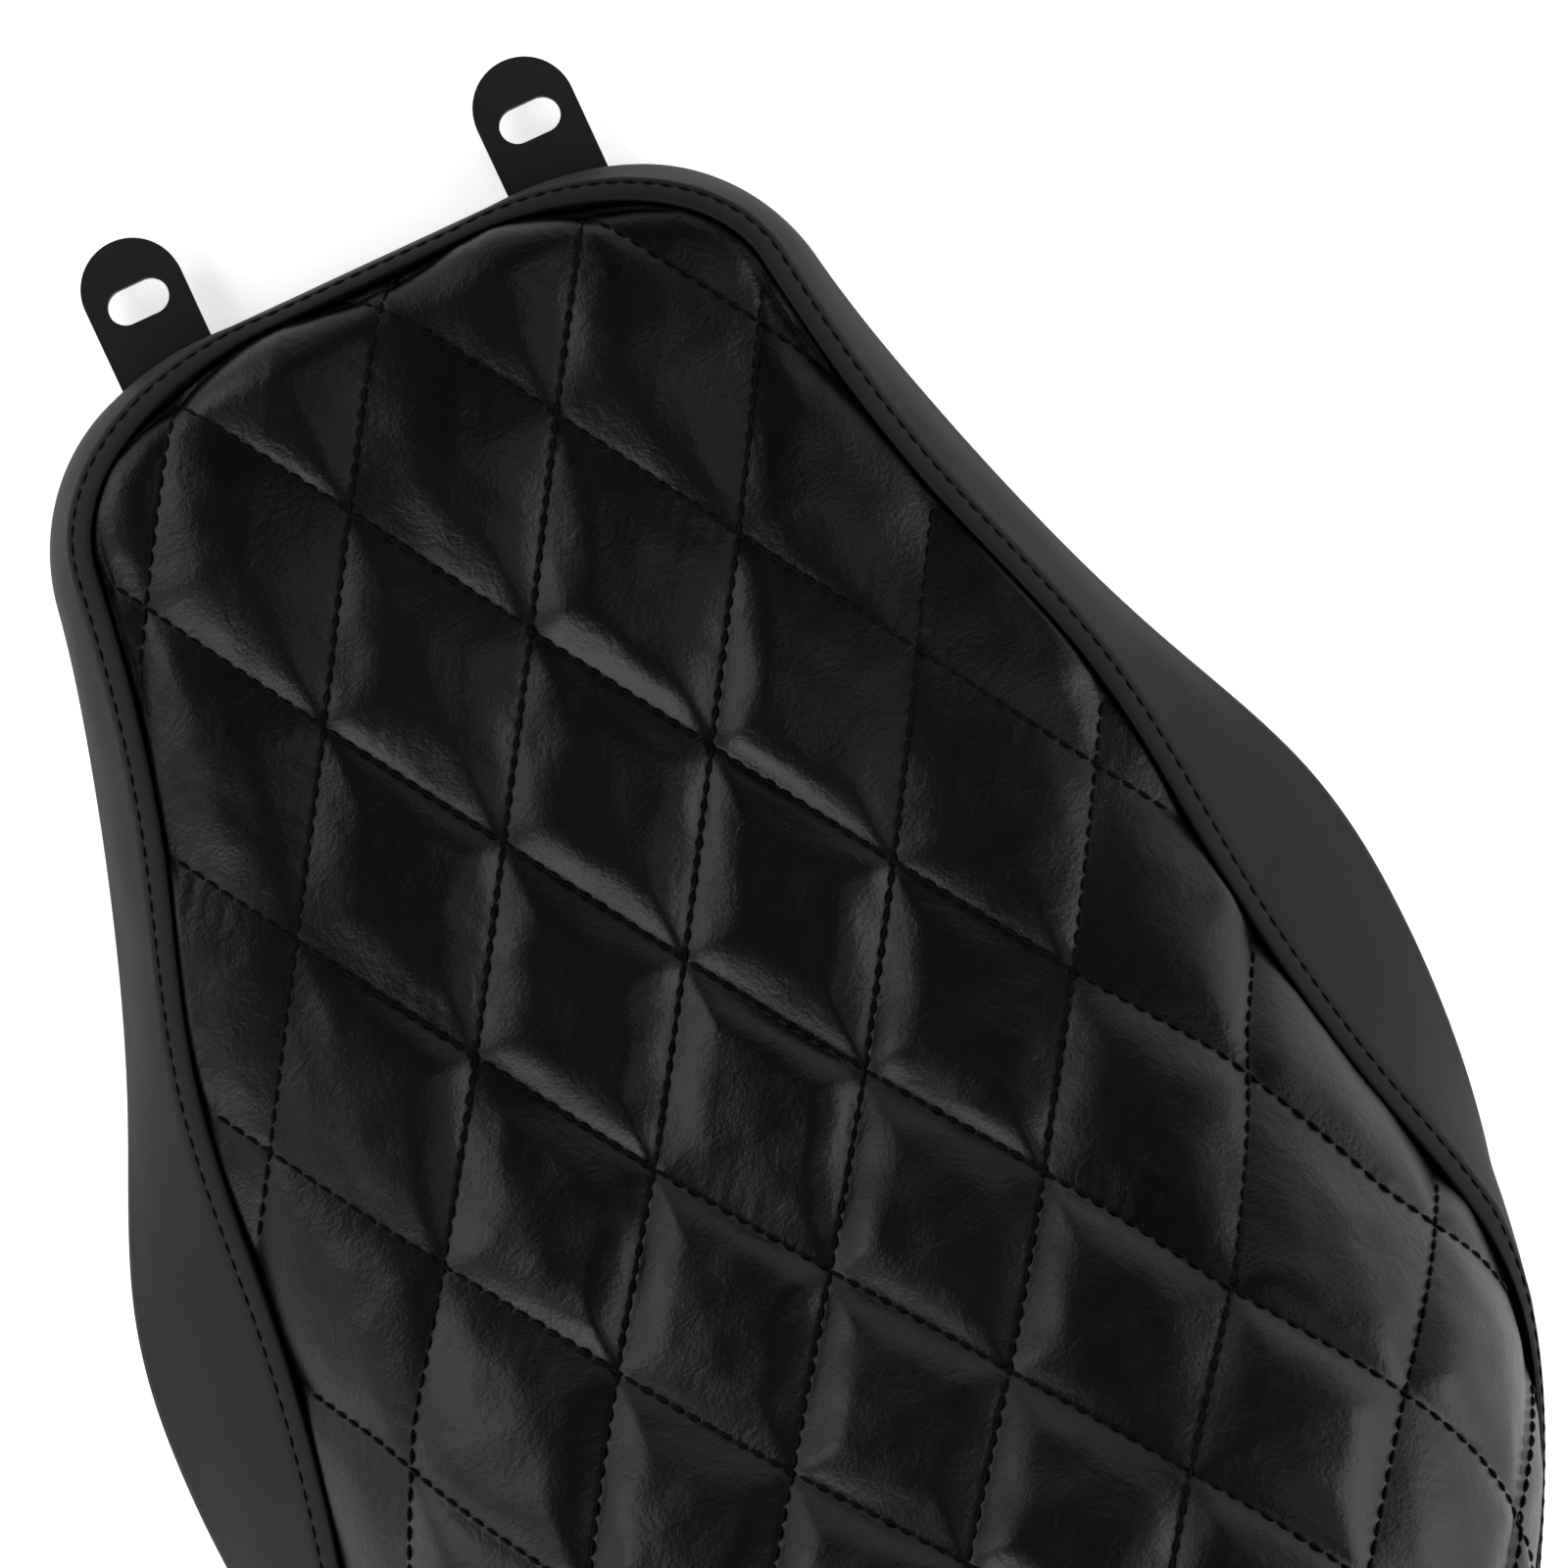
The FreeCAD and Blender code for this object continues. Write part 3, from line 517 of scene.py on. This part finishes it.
def quilt_relief(first, second, edge_gap, at, across):
    """How far the cover is drawn in and pulled down from its smooth top face."""
    a, b = first * LINE_GAP, second * LINE_GAP
    d1, d2 = line_distance(first), line_distance(second)
    wander = WANDER * waves(a, b, 8, 14, 45, 3) * np.clip(np.minimum(d1, d2) / WANDER_FADE, 0, 1)
    full = np.clip((at - FULL_FROM) / FULL_OVER, 0, 1)
    flank = full * np.clip((np.abs(across) - FLANK_START) / FLANK_WIDTH, 0, 1)
    reach = BEVEL + NOSE_BEVEL * (1 - full) + FLANK_BEVEL * flank
    power = NOSE_SHOULDER + (SHOULDER - NOSE_SHOULDER) * full
    s1, s2 = swell(d1 + wander, reach, power), swell(d2 + wander, reach, power)
    puff = 1 - ((1 - s1) ** MITRE + (1 - s2) ** MITRE) ** (1 / MITRE)
    across_cell = np.clip(d1 / LINE_GAP, 0, 1) * np.clip(d2 / LINE_GAP, 0, 1)
    dome = 1 - (1 - across_cell) ** DOME_POWER
    domed = DOMED + (NOSE_DOMED - DOMED) * (1 - full)
    depth = PUFF_DEPTH * (NOSE_PUFF + (1 - NOSE_PUFF) * full) * (1 - FLANK_CALM * flank)
    relief = depth * (1 - (1 - domed) * puff - domed * dome)
    top = np.clip(puff, 0, 1)
    relief -= uneven_top(first, second, a, b) * top
    relief -= GATHER * (wrinkles(d1, b, a, 11) + wrinkles(d2, a, b, 23))
    tuck = 1 - swell(edge_gap, EDGE_BEVEL, 2.0)
    pocket = EDGE_POCKET * (1 - top)
    return relief * (1 - tuck) + (EDGE_TUCK + pocket) * tuck, EDGE_DROP * tuck**2


# ---------------------------------------------------------------- the top cover
# the stations where the cover's grid turns its corners, and its rows and columns
NOSE_TURN_AT, TAIL_TURN_AT = 11.0, 428.0
QUICK_GRID, FULL_GRID = (220, 130), (520, 310)


def plan_edge(stations, side):
    """Plan points of the seam on one side, 1 or -1."""
    return np.stack([side * seam_half(stations), stations], -1)


def close_to_ends(count):
    """0 to 1 with steps that shrink towards both ends."""
    return (1 - np.cos(np.linspace(0, math.pi, count))) / 2


def cover_grid(rows, columns):
    """Plan points of the top cover in a grid that follows its outline.

    The four sides of the outline are blended, and the blend of their corners taken off.
    """
    nose = NOSE_TURN_AT * close_to_ends(80)
    tail = LENGTH - (LENGTH - TAIL_TURN_AT) * (1 - np.linspace(0, 1, 200)) ** 2
    flank = np.linspace(NOSE_TURN_AT, TAIL_TURN_AT, 900)
    left, right = plan_edge(flank, 1), plan_edge(flank, -1)
    front = np.concatenate([plan_edge(nose[::-1], -1), plan_edge(nose, 1)])
    back = np.concatenate([plan_edge(tail, -1), plan_edge(tail[::-1], 1)])
    down, over = close_to_ends(rows), close_to_ends(columns)
    left, right = at_shares(left, down)[:, None], at_shares(right, down)[:, None]
    front, back = at_shares(front, over)[None], at_shares(back, over)[None]
    v, u = down[:, None, None], over[None, :, None]
    ruled = (1 - u) * right + u * left + (1 - v) * front + v * back
    corners = ((1 - u) * (1 - v) * front[:, :1] + u * (1 - v) * front[:, -1:]
               + (1 - u) * v * back[:, :1] + u * v * back[:, -1:])
    return ruled - corners


def even_cover_grid(rows, columns):
    """The cover's smooth top as a grid of even cells, with station and across."""
    plan = cover_grid(900, 600)
    at = np.clip(plan[..., 1], 0, LENGTH)
    across = np.clip(plan[..., 0] / np.maximum(seam_half(at), 1e-6), -1, 1)
    full = np.concatenate([top_point(at, across), at[..., None], across[..., None]], -1)
    full = resample(full, columns)
    return resample(full.transpose(1, 0, 2), rows).transpose(1, 0, 2)


def edge_gaps(grid):
    """Distance of each grid point from the nearest edge of the grid, along its lines."""
    gaps = []
    for axis in (0, 1):
        step = np.linalg.norm(np.diff(grid, axis=axis), axis=-1)
        pad = [(0, 0), (0, 0)]
        pad[axis] = (1, 0)
        run = np.cumsum(np.pad(step, pad), axis=axis)
        gaps += [run, np.take(run, [-1], axis=axis) - run]
    return np.minimum.reduce(gaps)


def add_slab(name, upper, lower, material):
    """A closed piece between two grids of points of the same size."""
    rows, columns = upper.shape[:2]
    count = rows * columns
    verts = np.concatenate([upper.reshape(-1, 3), lower.reshape(-1, 3)])
    sheet = grid_faces(rows, columns)
    ring = np.concatenate([np.arange(columns), np.arange(1, rows) * columns + columns - 1,
                           (rows - 1) * columns + np.arange(columns - 2, -1, -1),
                           np.arange(rows - 2, 0, -1) * columns])
    nxt = np.roll(ring, -1)
    rim = np.stack([nxt, ring, ring + count, nxt + count], -1)
    faces = np.concatenate([sheet[:, ::-1] + count, sheet, rim])
    return add_piece(name, verts, oriented(verts, faces), material)


def make_top_cover():
    """The quilted cover: a closed skin whose upper face carries the puffs."""
    rows, columns = FULL_GRID
    grid = even_cover_grid(rows, columns)
    smooth, at, across = grid[..., :3], grid[..., 3], grid[..., 4]
    gap = edge_gaps(smooth)
    first, second = cloth_place(at, across)
    normal = normals_of(smooth)
    if normal[rows // 2, columns // 2, 2] < 0:
        normal = -normal
    # stitches pull the cloth more downwards than square to its face
    normal[..., 2] += np.clip(normal[..., 2], 0, 1)
    normal /= np.linalg.norm(normal, axis=-1, keepdims=True)
    drawn, dropped = quilt_relief(first, second, gap, at, across)
    outer = smooth - normal * drawn[..., None] - UP * dropped[..., None]
    inner = outer - normal_of_relief(outer, normal) * COVER_THICK
    piece = add_slab("quilted_top_cover", outer, inner, VINYL)
    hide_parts("top_cover")
    return smooth, outer, normal, drawn, at, across


def normal_of_relief(grid, guide):
    """Normals of the quilted face, softened towards those of the smooth one."""
    own = normals_of(grid)
    own = np.where((own * guide).sum(-1, keepdims=True) < 0, -own, own)
    mixed = own + 1.5 * guide
    return mixed / np.linalg.norm(mixed, axis=-1, keepdims=True)


def oriented(verts, faces):
    """The same faces, turned outwards."""
    a, b, c, d = (verts[faces[:, k]] for k in range(4))
    volume = (a * np.cross(b, c)).sum() + (a * np.cross(c, d)).sum()
    return faces if volume > 0 else faces[:, ::-1]


smooth_top, quilted_top, top_normal, top_drawn, top_at, top_across = make_top_cover()


# ---------------------------------------------------------------- the side band
LAP_WIDTH, NOSE_LAP_WIDTH = 4.5, 3.0
LAP_GROWTH = 0.25
PUCKER = 0.10
WALL_BULGE, WALL_SWELL = 1.2, 0.30
WALL_ROWS = 23
BAND_THICK = 0.96
QUICK_ROUND, FULL_ROUND = 500, 1120
# (share of the lap's width outwards, height over the seam), from deep in the groove
LAP_PROFILE = ((-0.80, -4.6), (-0.30, -4.4), (-0.02, -3.6), (0.02, -2.0), (0.02, -0.5),
               (0.04, 0.1), (0.09, 0.4), (0.20, 0.42), (0.38, 0.05), (0.58, -0.5), (0.76, -1.1),
               (0.88, -1.6), (0.96, -2.05), (1.0, -2.25), (1.05, -2.3), (1.14, -2.5),
               (1.28, -2.95))
STITCH_ROW = 13
# (distance in from the rim, height over the underside) of the rows of the hem
HEM_PROFILE = ((0.9, 0), (3, 0), (8, 0), (14, 0), (19.4, 0), (20, 0.5), (20, 1.1))


def loop_stations(count):
    """(side, station) round the seat at even steps of the seam, from the nose's middle."""
    half = LENGTH / 2 * (1 - np.cos(np.linspace(0, math.pi, 1500)))
    plan = np.stack([seam_half(half), half], -1)
    nose = np.stack([np.linspace(0, plan[0, 0], 60)[:-1], np.zeros(59)], -1)
    plan = np.concatenate([nose, plan])
    place = even(plan, count // 2 + 1)
    right = place[-2:0:-1] * (-1, 1)
    return np.concatenate([place, right])


def wall_ends(plan):
    """The seam and rim points, in three dimensions, for plan points of the seam."""
    at = np.clip(plan[:, 1], 0, LENGTH)
    across = np.clip(plan[:, 0] / np.maximum(seam_half(at), 1e-6), -1, 1)
    seam = leaned(across * seam_half(at), at, seam_height(at))
    rim = leaned(across * rim_half(at), at, pan_rise(at) - COVER_THICK)
    return seam, rim


def loop_frames(plan):
    """Seam points, unit vectors down and out of the wall, wall height, rim points."""
    seam, rim = wall_ends(plan)
    down = rim - seam
    tall = np.linalg.norm(down, axis=1, keepdims=True)
    down = down / tall
    ahead = np.roll(seam, -1, axis=0) - np.roll(seam, 1, axis=0)
    out = np.cross(down, ahead)
    out /= np.linalg.norm(out, axis=1, keepdims=True)
    if out[0, 1] > 0:
        out = -out
    return seam, down, out, tall[:, 0], rim


def inward_of(rim):
    """Unit vectors in plan that point from the rim to the inside."""
    ahead = np.roll(rim, -1, axis=0) - np.roll(rim, 1, axis=0)
    inward = np.stack([-ahead[:, 1], ahead[:, 0], 0 * ahead[:, 0]], -1)
    inward /= np.linalg.norm(inward, axis=1, keepdims=True)
    return inward if inward[0, 1] > 0 else -inward


def hem_row(rim, inward, inset, lift):
    """A row of the hem, under the pan."""
    row = rim + inward * inset
    row[:, 2] = pan_rise(row[:, 1] - NOSE_Y) - COVER_THICK + lift
    return row


def lap_widths(seam, rim, level):
    """Width of the lap: narrower where the wall under it is steep."""
    spread_out = ((rim - seam) * level).sum(axis=1)
    width = NOSE_LAP_WIDTH + LAP_GROWTH * (spread_out - NOSE_LEAN)
    return np.clip(width, 0.5 * NOSE_LAP_WIDTH, LAP_WIDTH)


def band_rows(plan):
    """The band's outer face, row by row: its lap, its wall and its hem."""
    seam, down, out, tall, rim = loop_frames(plan)
    level = -inward_of(seam)
    width = lap_widths(seam, rim, level)
    pucker = PUCKER * waves(plan[:, 0], plan[:, 1], 12, 6, 26, 41)
    rows = []
    for share, rise in LAP_PROFILE:
        ripple = pucker * math.exp(-4 * abs(share - 1)) if share > 0.2 else 0 * pucker
        rows.append(seam + level * (share * width)[:, None] + UP * (rise + ripple)[:, None])
    start, end = rows[-1], rim - down * 0.7 - out * 0.15
    for share in np.linspace(0, 1, WALL_ROWS + 1)[1:]:
        drop = share * tall
        uneven = WALL_SWELL * waves(plan[:, 0] + drop, plan[:, 1], 6, 30, 90, 43)
        soft = (WALL_BULGE + uneven) * math.sin(math.pi * share)
        tight = pucker * np.exp(-drop / 6) * (1 - share)
        rows.append(start + (end - start) * share + out * (soft + tight)[:, None])
    inward = inward_of(rim)
    rows += [hem_row(rim, inward, inset, lift) for inset, lift in HEM_PROFILE]
    return np.array(rows), out, level


def make_side_band():
    """The wall, with a rolled lap on the seam and a hem turned under the pan."""
    outer, out, level = band_rows(loop_stations(FULL_ROUND))
    skin = normals_of(np.concatenate([outer[:, -2:], outer, outer[:, :2]], axis=1))[:, 2:-2]
    middle = len(LAP_PROFILE) + WALL_ROWS // 3
    if (skin[middle] * out).sum() < 0:
        skin = -skin
    inner = outer - skin * BAND_THICK
    rows, columns = outer.shape[:2]
    count = rows * columns
    verts = np.concatenate([outer.reshape(-1, 3), inner.reshape(-1, 3)])
    sheet = grid_faces(rows, columns, wrap=True)
    first = np.arange(columns)
    nxt = np.roll(first, -1)
    top_rim = np.stack([first, nxt, nxt + count, first + count], -1)
    low_rim = top_rim[:, (1, 0, 3, 2)] + (rows - 1) * columns
    faces = np.concatenate([sheet[:, ::-1], sheet + count, top_rim, low_rim])
    piece = add_piece("side_cover_band", verts, oriented(verts, faces), BAND_VINYL)
    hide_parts("side_band")
    return outer[STITCH_ROW], level * 0.5 + UP * 0.87


lap_line, lap_normal = make_side_band()


# ---------------------------------------------------------------- stitches
STITCH_PITCH, STITCH_LENGTH = 4.3, 3.7
QUILT_THREAD_RADIUS, LAP_THREAD_RADIUS = 0.48, 0.28
# the arch of a stitch over the cloth, how deep its ends dive, and how thin they are
THREAD_ARCH, THREAD_DIVE, THREAD_END = 0.25, 0.35, 0.6
THREAD_SIDES, THREAD_RINGS = 6, 5
THREAD_LIFT, LAP_THREAD_LIFT = 0.2, 0.1
LINE_NUMBERS = range(-12, 13)
EDGE_MARGIN = 2.5
# a longer gap between fine points ends a stretch; a stretch with fewer points is left out
LINE_BREAK, FEWEST_POINTS = 4.0, 21


def thread_loops(name, starts, ends, normals, radius):
    """Separate stitches: short arched threads whose ends dive into the cloth."""
    starts, ends, normals = map(np.asarray, (starts, ends, normals))
    reach = ends - starts
    side = np.cross(reach, normals)
    side /= np.linalg.norm(side, axis=1, keepdims=True)
    sides, rings = THREAD_SIDES, THREAD_RINGS
    turns = np.linspace(0, 2 * math.pi, sides, endpoint=False)
    verts = []
    for k in range(rings):
        share = k / (rings - 1)
        arch = math.sin(math.pi * share)
        thick = radius * (1.0 if 0 < k < rings - 1 else THREAD_END)
        lift = THREAD_ARCH * arch - THREAD_DIVE * (1 - arch)
        middle = starts + reach * share + normals * lift
        ring = [middle + thick * (math.cos(a) * side + math.sin(a) * normals) for a in turns]
        verts.append(np.stack(ring, 1))
    verts = np.stack(verts, 1)
    one = grid_faces(rings, sides, wrap=True)
    caps = np.array([[0, 1, 2, 3], [0, 3, 4, 5]])
    far = caps[:, ::-1] + (rings - 1) * sides
    one = np.concatenate([one[:, ::-1], caps, far])
    step = rings * sides
    faces = (one[None] + step * np.arange(len(starts))[:, None, None]).reshape(-1, 4)
    return add_piece(name, verts.reshape(-1, 3), faces, THREAD)


def grid_tree():
    """A lookup from a place on the smooth cover to the nearest grid vertex."""
    flat = smooth_top.reshape(-1, 3)
    tree = KDTree(len(flat))
    for k, place in enumerate(flat):
        tree.insert(place, k)
    tree.balance()
    return tree


def stitch_lines(family, index):
    """Fine points along one stitch line, as a list of its unbroken stretches."""
    fine = np.linspace(-24, 24, 5200)
    along, side = index + fine / 2, index - fine / 2
    spine_run = np.interp(along, node_numbers, node_runs)
    side_run = (side if family == 0 else -side) * DIAMOND_HALF_WIDTH
    inside = (spine_run > 0) & (spine_run < spine[-1]) & (along > -1)
    spine_run, side_run = spine_run[inside], side_run[inside]
    at = np.interp(spine_run, spine, table_at)
    for _ in range(4):
        at = np.interp(spine_run, spine, table_at) + sweep(at, side_run)
    at = np.clip(at, 0, LENGTH)
    row = np.interp(at, table_at, np.arange(len(table_at)))
    i = np.clip(row.astype(int), 0, len(table_at) - 2)
    share = (row - i)[:, None]
    widths = lateral[i] * (1 - share) + lateral[i + 1] * share
    keep = np.abs(side_run) < widths[:, -1] - EDGE_MARGIN
    at, side_run, widths = at[keep], side_run[keep], widths[keep]
    turn = np.array([np.interp(abs(p), w, table_turn) for p, w in zip(side_run, widths)])
    points = top_point(at, np.sign(side_run) * np.sin(turn))
    jumps = np.nonzero(np.linalg.norm(np.diff(points, axis=0), axis=1) > LINE_BREAK)[0]
    return [line for line in np.split(points, jumps + 1) if len(line) >= FEWEST_POINTS]


def quilting_stitches():
    """Every quilting stitch, laid in the bottom of its valley."""
    tree = grid_tree()
    drawn = (quilted_top - smooth_top).reshape(-1, 3)
    cover_normal = top_normal.reshape(-1, 3)
    starts, ends, normals = [], [], []
    lines = [line for family in (0, 1) for index in LINE_NUMBERS
             for line in stitch_lines(family, index)]
    for line in lines:
        knots = even(line, max(2, int(run_along(line)[-1] / STITCH_PITCH)))
        for start, end in zip(knots, knots[1:]):
            end = start + (end - start) * STITCH_LENGTH / STITCH_PITCH
            near_start, near_end = tree.find(start)[1], tree.find(end)[1]
            up = cover_normal[near_start]
            starts.append(start + up * (drawn[near_start] @ up + THREAD_LIFT))
            ends.append(end + up * (drawn[near_end] @ up + THREAD_LIFT))
            normals.append(up)
    return thread_loops("quilting_stitches", starts, ends, normals, QUILT_THREAD_RADIUS)


def lap_stitches():
    """The topstitching that holds the lap down, all round the seam."""
    line = np.concatenate([lap_line + lap_normal * LAP_THREAD_LIFT, lap_normal], axis=1)
    line = np.concatenate([line, line[:1]])
    run = run_along(line[:, :3])
    count = int(run[-1] / STITCH_PITCH)
    begin = np.arange(count) * run[-1] / count
    head, tail = at_runs(line, run, begin), at_runs(line, run, begin + STITCH_LENGTH)
    return thread_loops("lap_stitches", head[:, :3], tail[:, :3], head[:, 3:], LAP_THREAD_RADIUS)


quilting_stitches()
lap_stitches()


# ---------------------------------------------------------------- foam
SHEET_DEPTH, CORE_DEPTH = 7.1, 8.4
CORE_INSET, CORE_BASE = 4.0, 3.0
# the least room under the cover and the least thickness of the sheet
COVER_ROOM, SHEET_LEAST = 0.3, 0.8
# near the seam, all the foam sinks by the first, and each face by its own
EDGE_FADE, EDGE_FALL = 4.0, 5.0
UPPER_FALL, LOWER_FALL, CORE_FALL = 1.5, 2.5, 3.0
# the foam takes every third point of the cover's grid, and the deepest of its neighbours
FOAM_STEP, FOAM_REACH = 3, 7


def make_foam():
    """The foam sheet that the quilting draws in, and the moulded core under it."""
    few = (slice(None, None, FOAM_STEP), slice(None, None, FOAM_STEP))
    padded = np.pad(top_drawn, FOAM_REACH // 2, mode="edge")
    windows = np.lib.stride_tricks.sliding_window_view(padded, (FOAM_REACH, FOAM_REACH))
    deepest = windows.max(axis=(2, 3))[few][..., None] + COVER_THICK + COVER_ROOM
    edge = np.exp(-edge_gaps(smooth_top)[few][..., None] / EDGE_FADE)
    base, normal = smooth_top[few], top_normal[few]
    fall = UP * EDGE_FALL * edge
    upper = base - normal * (deepest + UPPER_FALL * edge) - fall
    depth = np.maximum(SHEET_DEPTH, deepest + SHEET_LEAST)
    lower = base - normal * (depth + LOWER_FALL * edge) - fall
    sheet = add_slab("quilt_foam_sheet", upper, lower, SHEET_FOAM)
    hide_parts("quilt_foam")
    crown = base - normal * (CORE_DEPTH + CORE_FALL * edge) - fall
    at, across = top_at[few], top_across[few]
    seat = np.stack([across * (rim_half(at) - CORE_INSET),
                     NOSE_Y + np.clip(at, CORE_INSET, LENGTH - CORE_INSET),
                     pan_rise(at) + CORE_BASE], -1)
    core = add_slab("foam_core", crown, seat, CORE_FOAM)
    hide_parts("main_foam")


make_foam()


# ---------------------------------------------------------------- carried-over CAD nodes
TABS = ("front_tab_left", "front_tab_right", "rear_tab")
TAB_EDGE = 0.5


def material_for(node):
    """The material of a CAD node: the first one whose word is in the node's name."""
    return next(material for word, material in NODE_MATERIALS.items() if word in node)


for name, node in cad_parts.items():
    if node.hide_render:
        continue
    node.data.materials.clear()
    node.data.materials.append(material_for(name))
    if name in TABS:
        soft = node.modifiers.new("edges", "BEVEL")
        soft.width = TAB_EDGE * MM
        soft.segments = 3
        soft.limit_method = "ANGLE"
        soft.angle_limit = math.radians(50)


# ---------------------------------------------------------------- stage, light, camera
# metres and watts; the world is bright up to the first height and dark from the second
FLOOR_SIZE = 12.0
SKY_HEIGHTS, SKY_STRENGTHS = (0.25, 0.55), (0.9, 0.03)
LIGHTS = (
    # name, place, size, power
    ("right_side", (-1.50, 0.70, 0.85), (1.9, 1.3), 26),
    ("left_side", (1.35, 0.50, 1.00), (1.4, 1.1), 20),
    ("nose_side", (1.05, -1.25, 0.85), (1.2, 0.9), 9),
    ("overhead", (-0.62, -0.15, 1.75), (0.7, 0.7), 2.0),
)
LIGHT_TARGET = (0, 0, 0.05)
# millimetres: the camera stands over the seat's middle line, with the nose up and to the left
CAMERA_HEIGHT = 1300.0
VIEW_WIDTH = 379.2
TURN = math.radians(25.1)
LOOK_AT = (-39.7, NOSE_Y + 153.7)
SENSOR = 36.0


def make_floor():
    """A plain pale floor, lit a little from within."""
    mesh = bpy.data.meshes.new("floor")
    half = FLOOR_SIZE / 2
    mesh.from_pydata([(-half, -half, 0), (half, -half, 0), (half, half, 0), (-half, half, 0)],
                     [], [(0, 1, 2, 3)])
    floor = bpy.data.objects.new("floor", mesh)
    bpy.context.scene.collection.objects.link(floor)
    material, _ = new_material("floor_white", (0.95, 0.95, 0.95), 0.9,
                               Emission_Color=(1, 1, 1, 1), Emission_Strength=0.6)
    mesh.materials.append(material)


def area_light(name, place, size, power):
    """A rectangular soft light that is aimed at the seat."""
    light = bpy.data.lights.new(name, "AREA")
    light.shape = "RECTANGLE"
    light.size, light.size_y = size
    light.energy = power
    lamp = bpy.data.objects.new(name, light)
    bpy.context.scene.collection.objects.link(lamp)
    lamp.location = place
    aim = Vector(LIGHT_TARGET) - Vector(place)
    lamp.rotation_euler = aim.to_track_quat("-Z", "Y").to_euler()


def make_world():
    """A studio that is bright all round, low down, and dark overhead."""
    world = bpy.data.worlds.new("studio")
    bpy.context.scene.world = world
    world.use_nodes = True
    nodes, links = world.node_tree.nodes, world.node_tree.links
    place = nodes.new("ShaderNodeTexCoord")
    split = nodes.new("ShaderNodeSeparateXYZ")
    ramp = nodes.new("ShaderNodeMapRange")
    ramp.inputs["From Min"].default_value, ramp.inputs["From Max"].default_value = SKY_HEIGHTS
    ramp.inputs["To Min"].default_value, ramp.inputs["To Max"].default_value = SKY_STRENGTHS
    links.new(place.outputs["Generated"], split.inputs["Vector"])
    links.new(split.outputs["Z"], ramp.inputs["Value"])
    links.new(ramp.outputs["Result"], nodes["Background"].inputs["Strength"])
    nodes["Background"].inputs["Color"].default_value = (1, 1, 1, 1)


def make_camera():
    """A camera over the seat that looks nearly straight down, turned about its own axis."""
    data = bpy.data.cameras.new("camera")
    data.sensor_width = SENSOR
    data.lens = SENSOR * CAMERA_HEIGHT / VIEW_WIDTH
    data.clip_end = 50
    camera = bpy.data.objects.new("camera", data)
    bpy.context.scene.collection.objects.link(camera)
    place = Vector((0, LOOK_AT[1], CAMERA_HEIGHT)) * MM
    view = (Vector((*LOOK_AT, 0)) * MM - place).normalized()
    up = Vector((-math.sin(TURN), -math.cos(TURN), 0))
    right = view.cross(up).normalized()
    up = right.cross(view)
    turn = Matrix((right, up, -view)).transposed()
    camera.matrix_world = Matrix.Translation(place) @ turn.to_4x4()
    bpy.context.scene.camera = camera


make_floor()
make_world()
for light in LIGHTS:
    area_light(*light)
make_camera()
bpy.context.scene.view_settings.view_transform = "Standard"
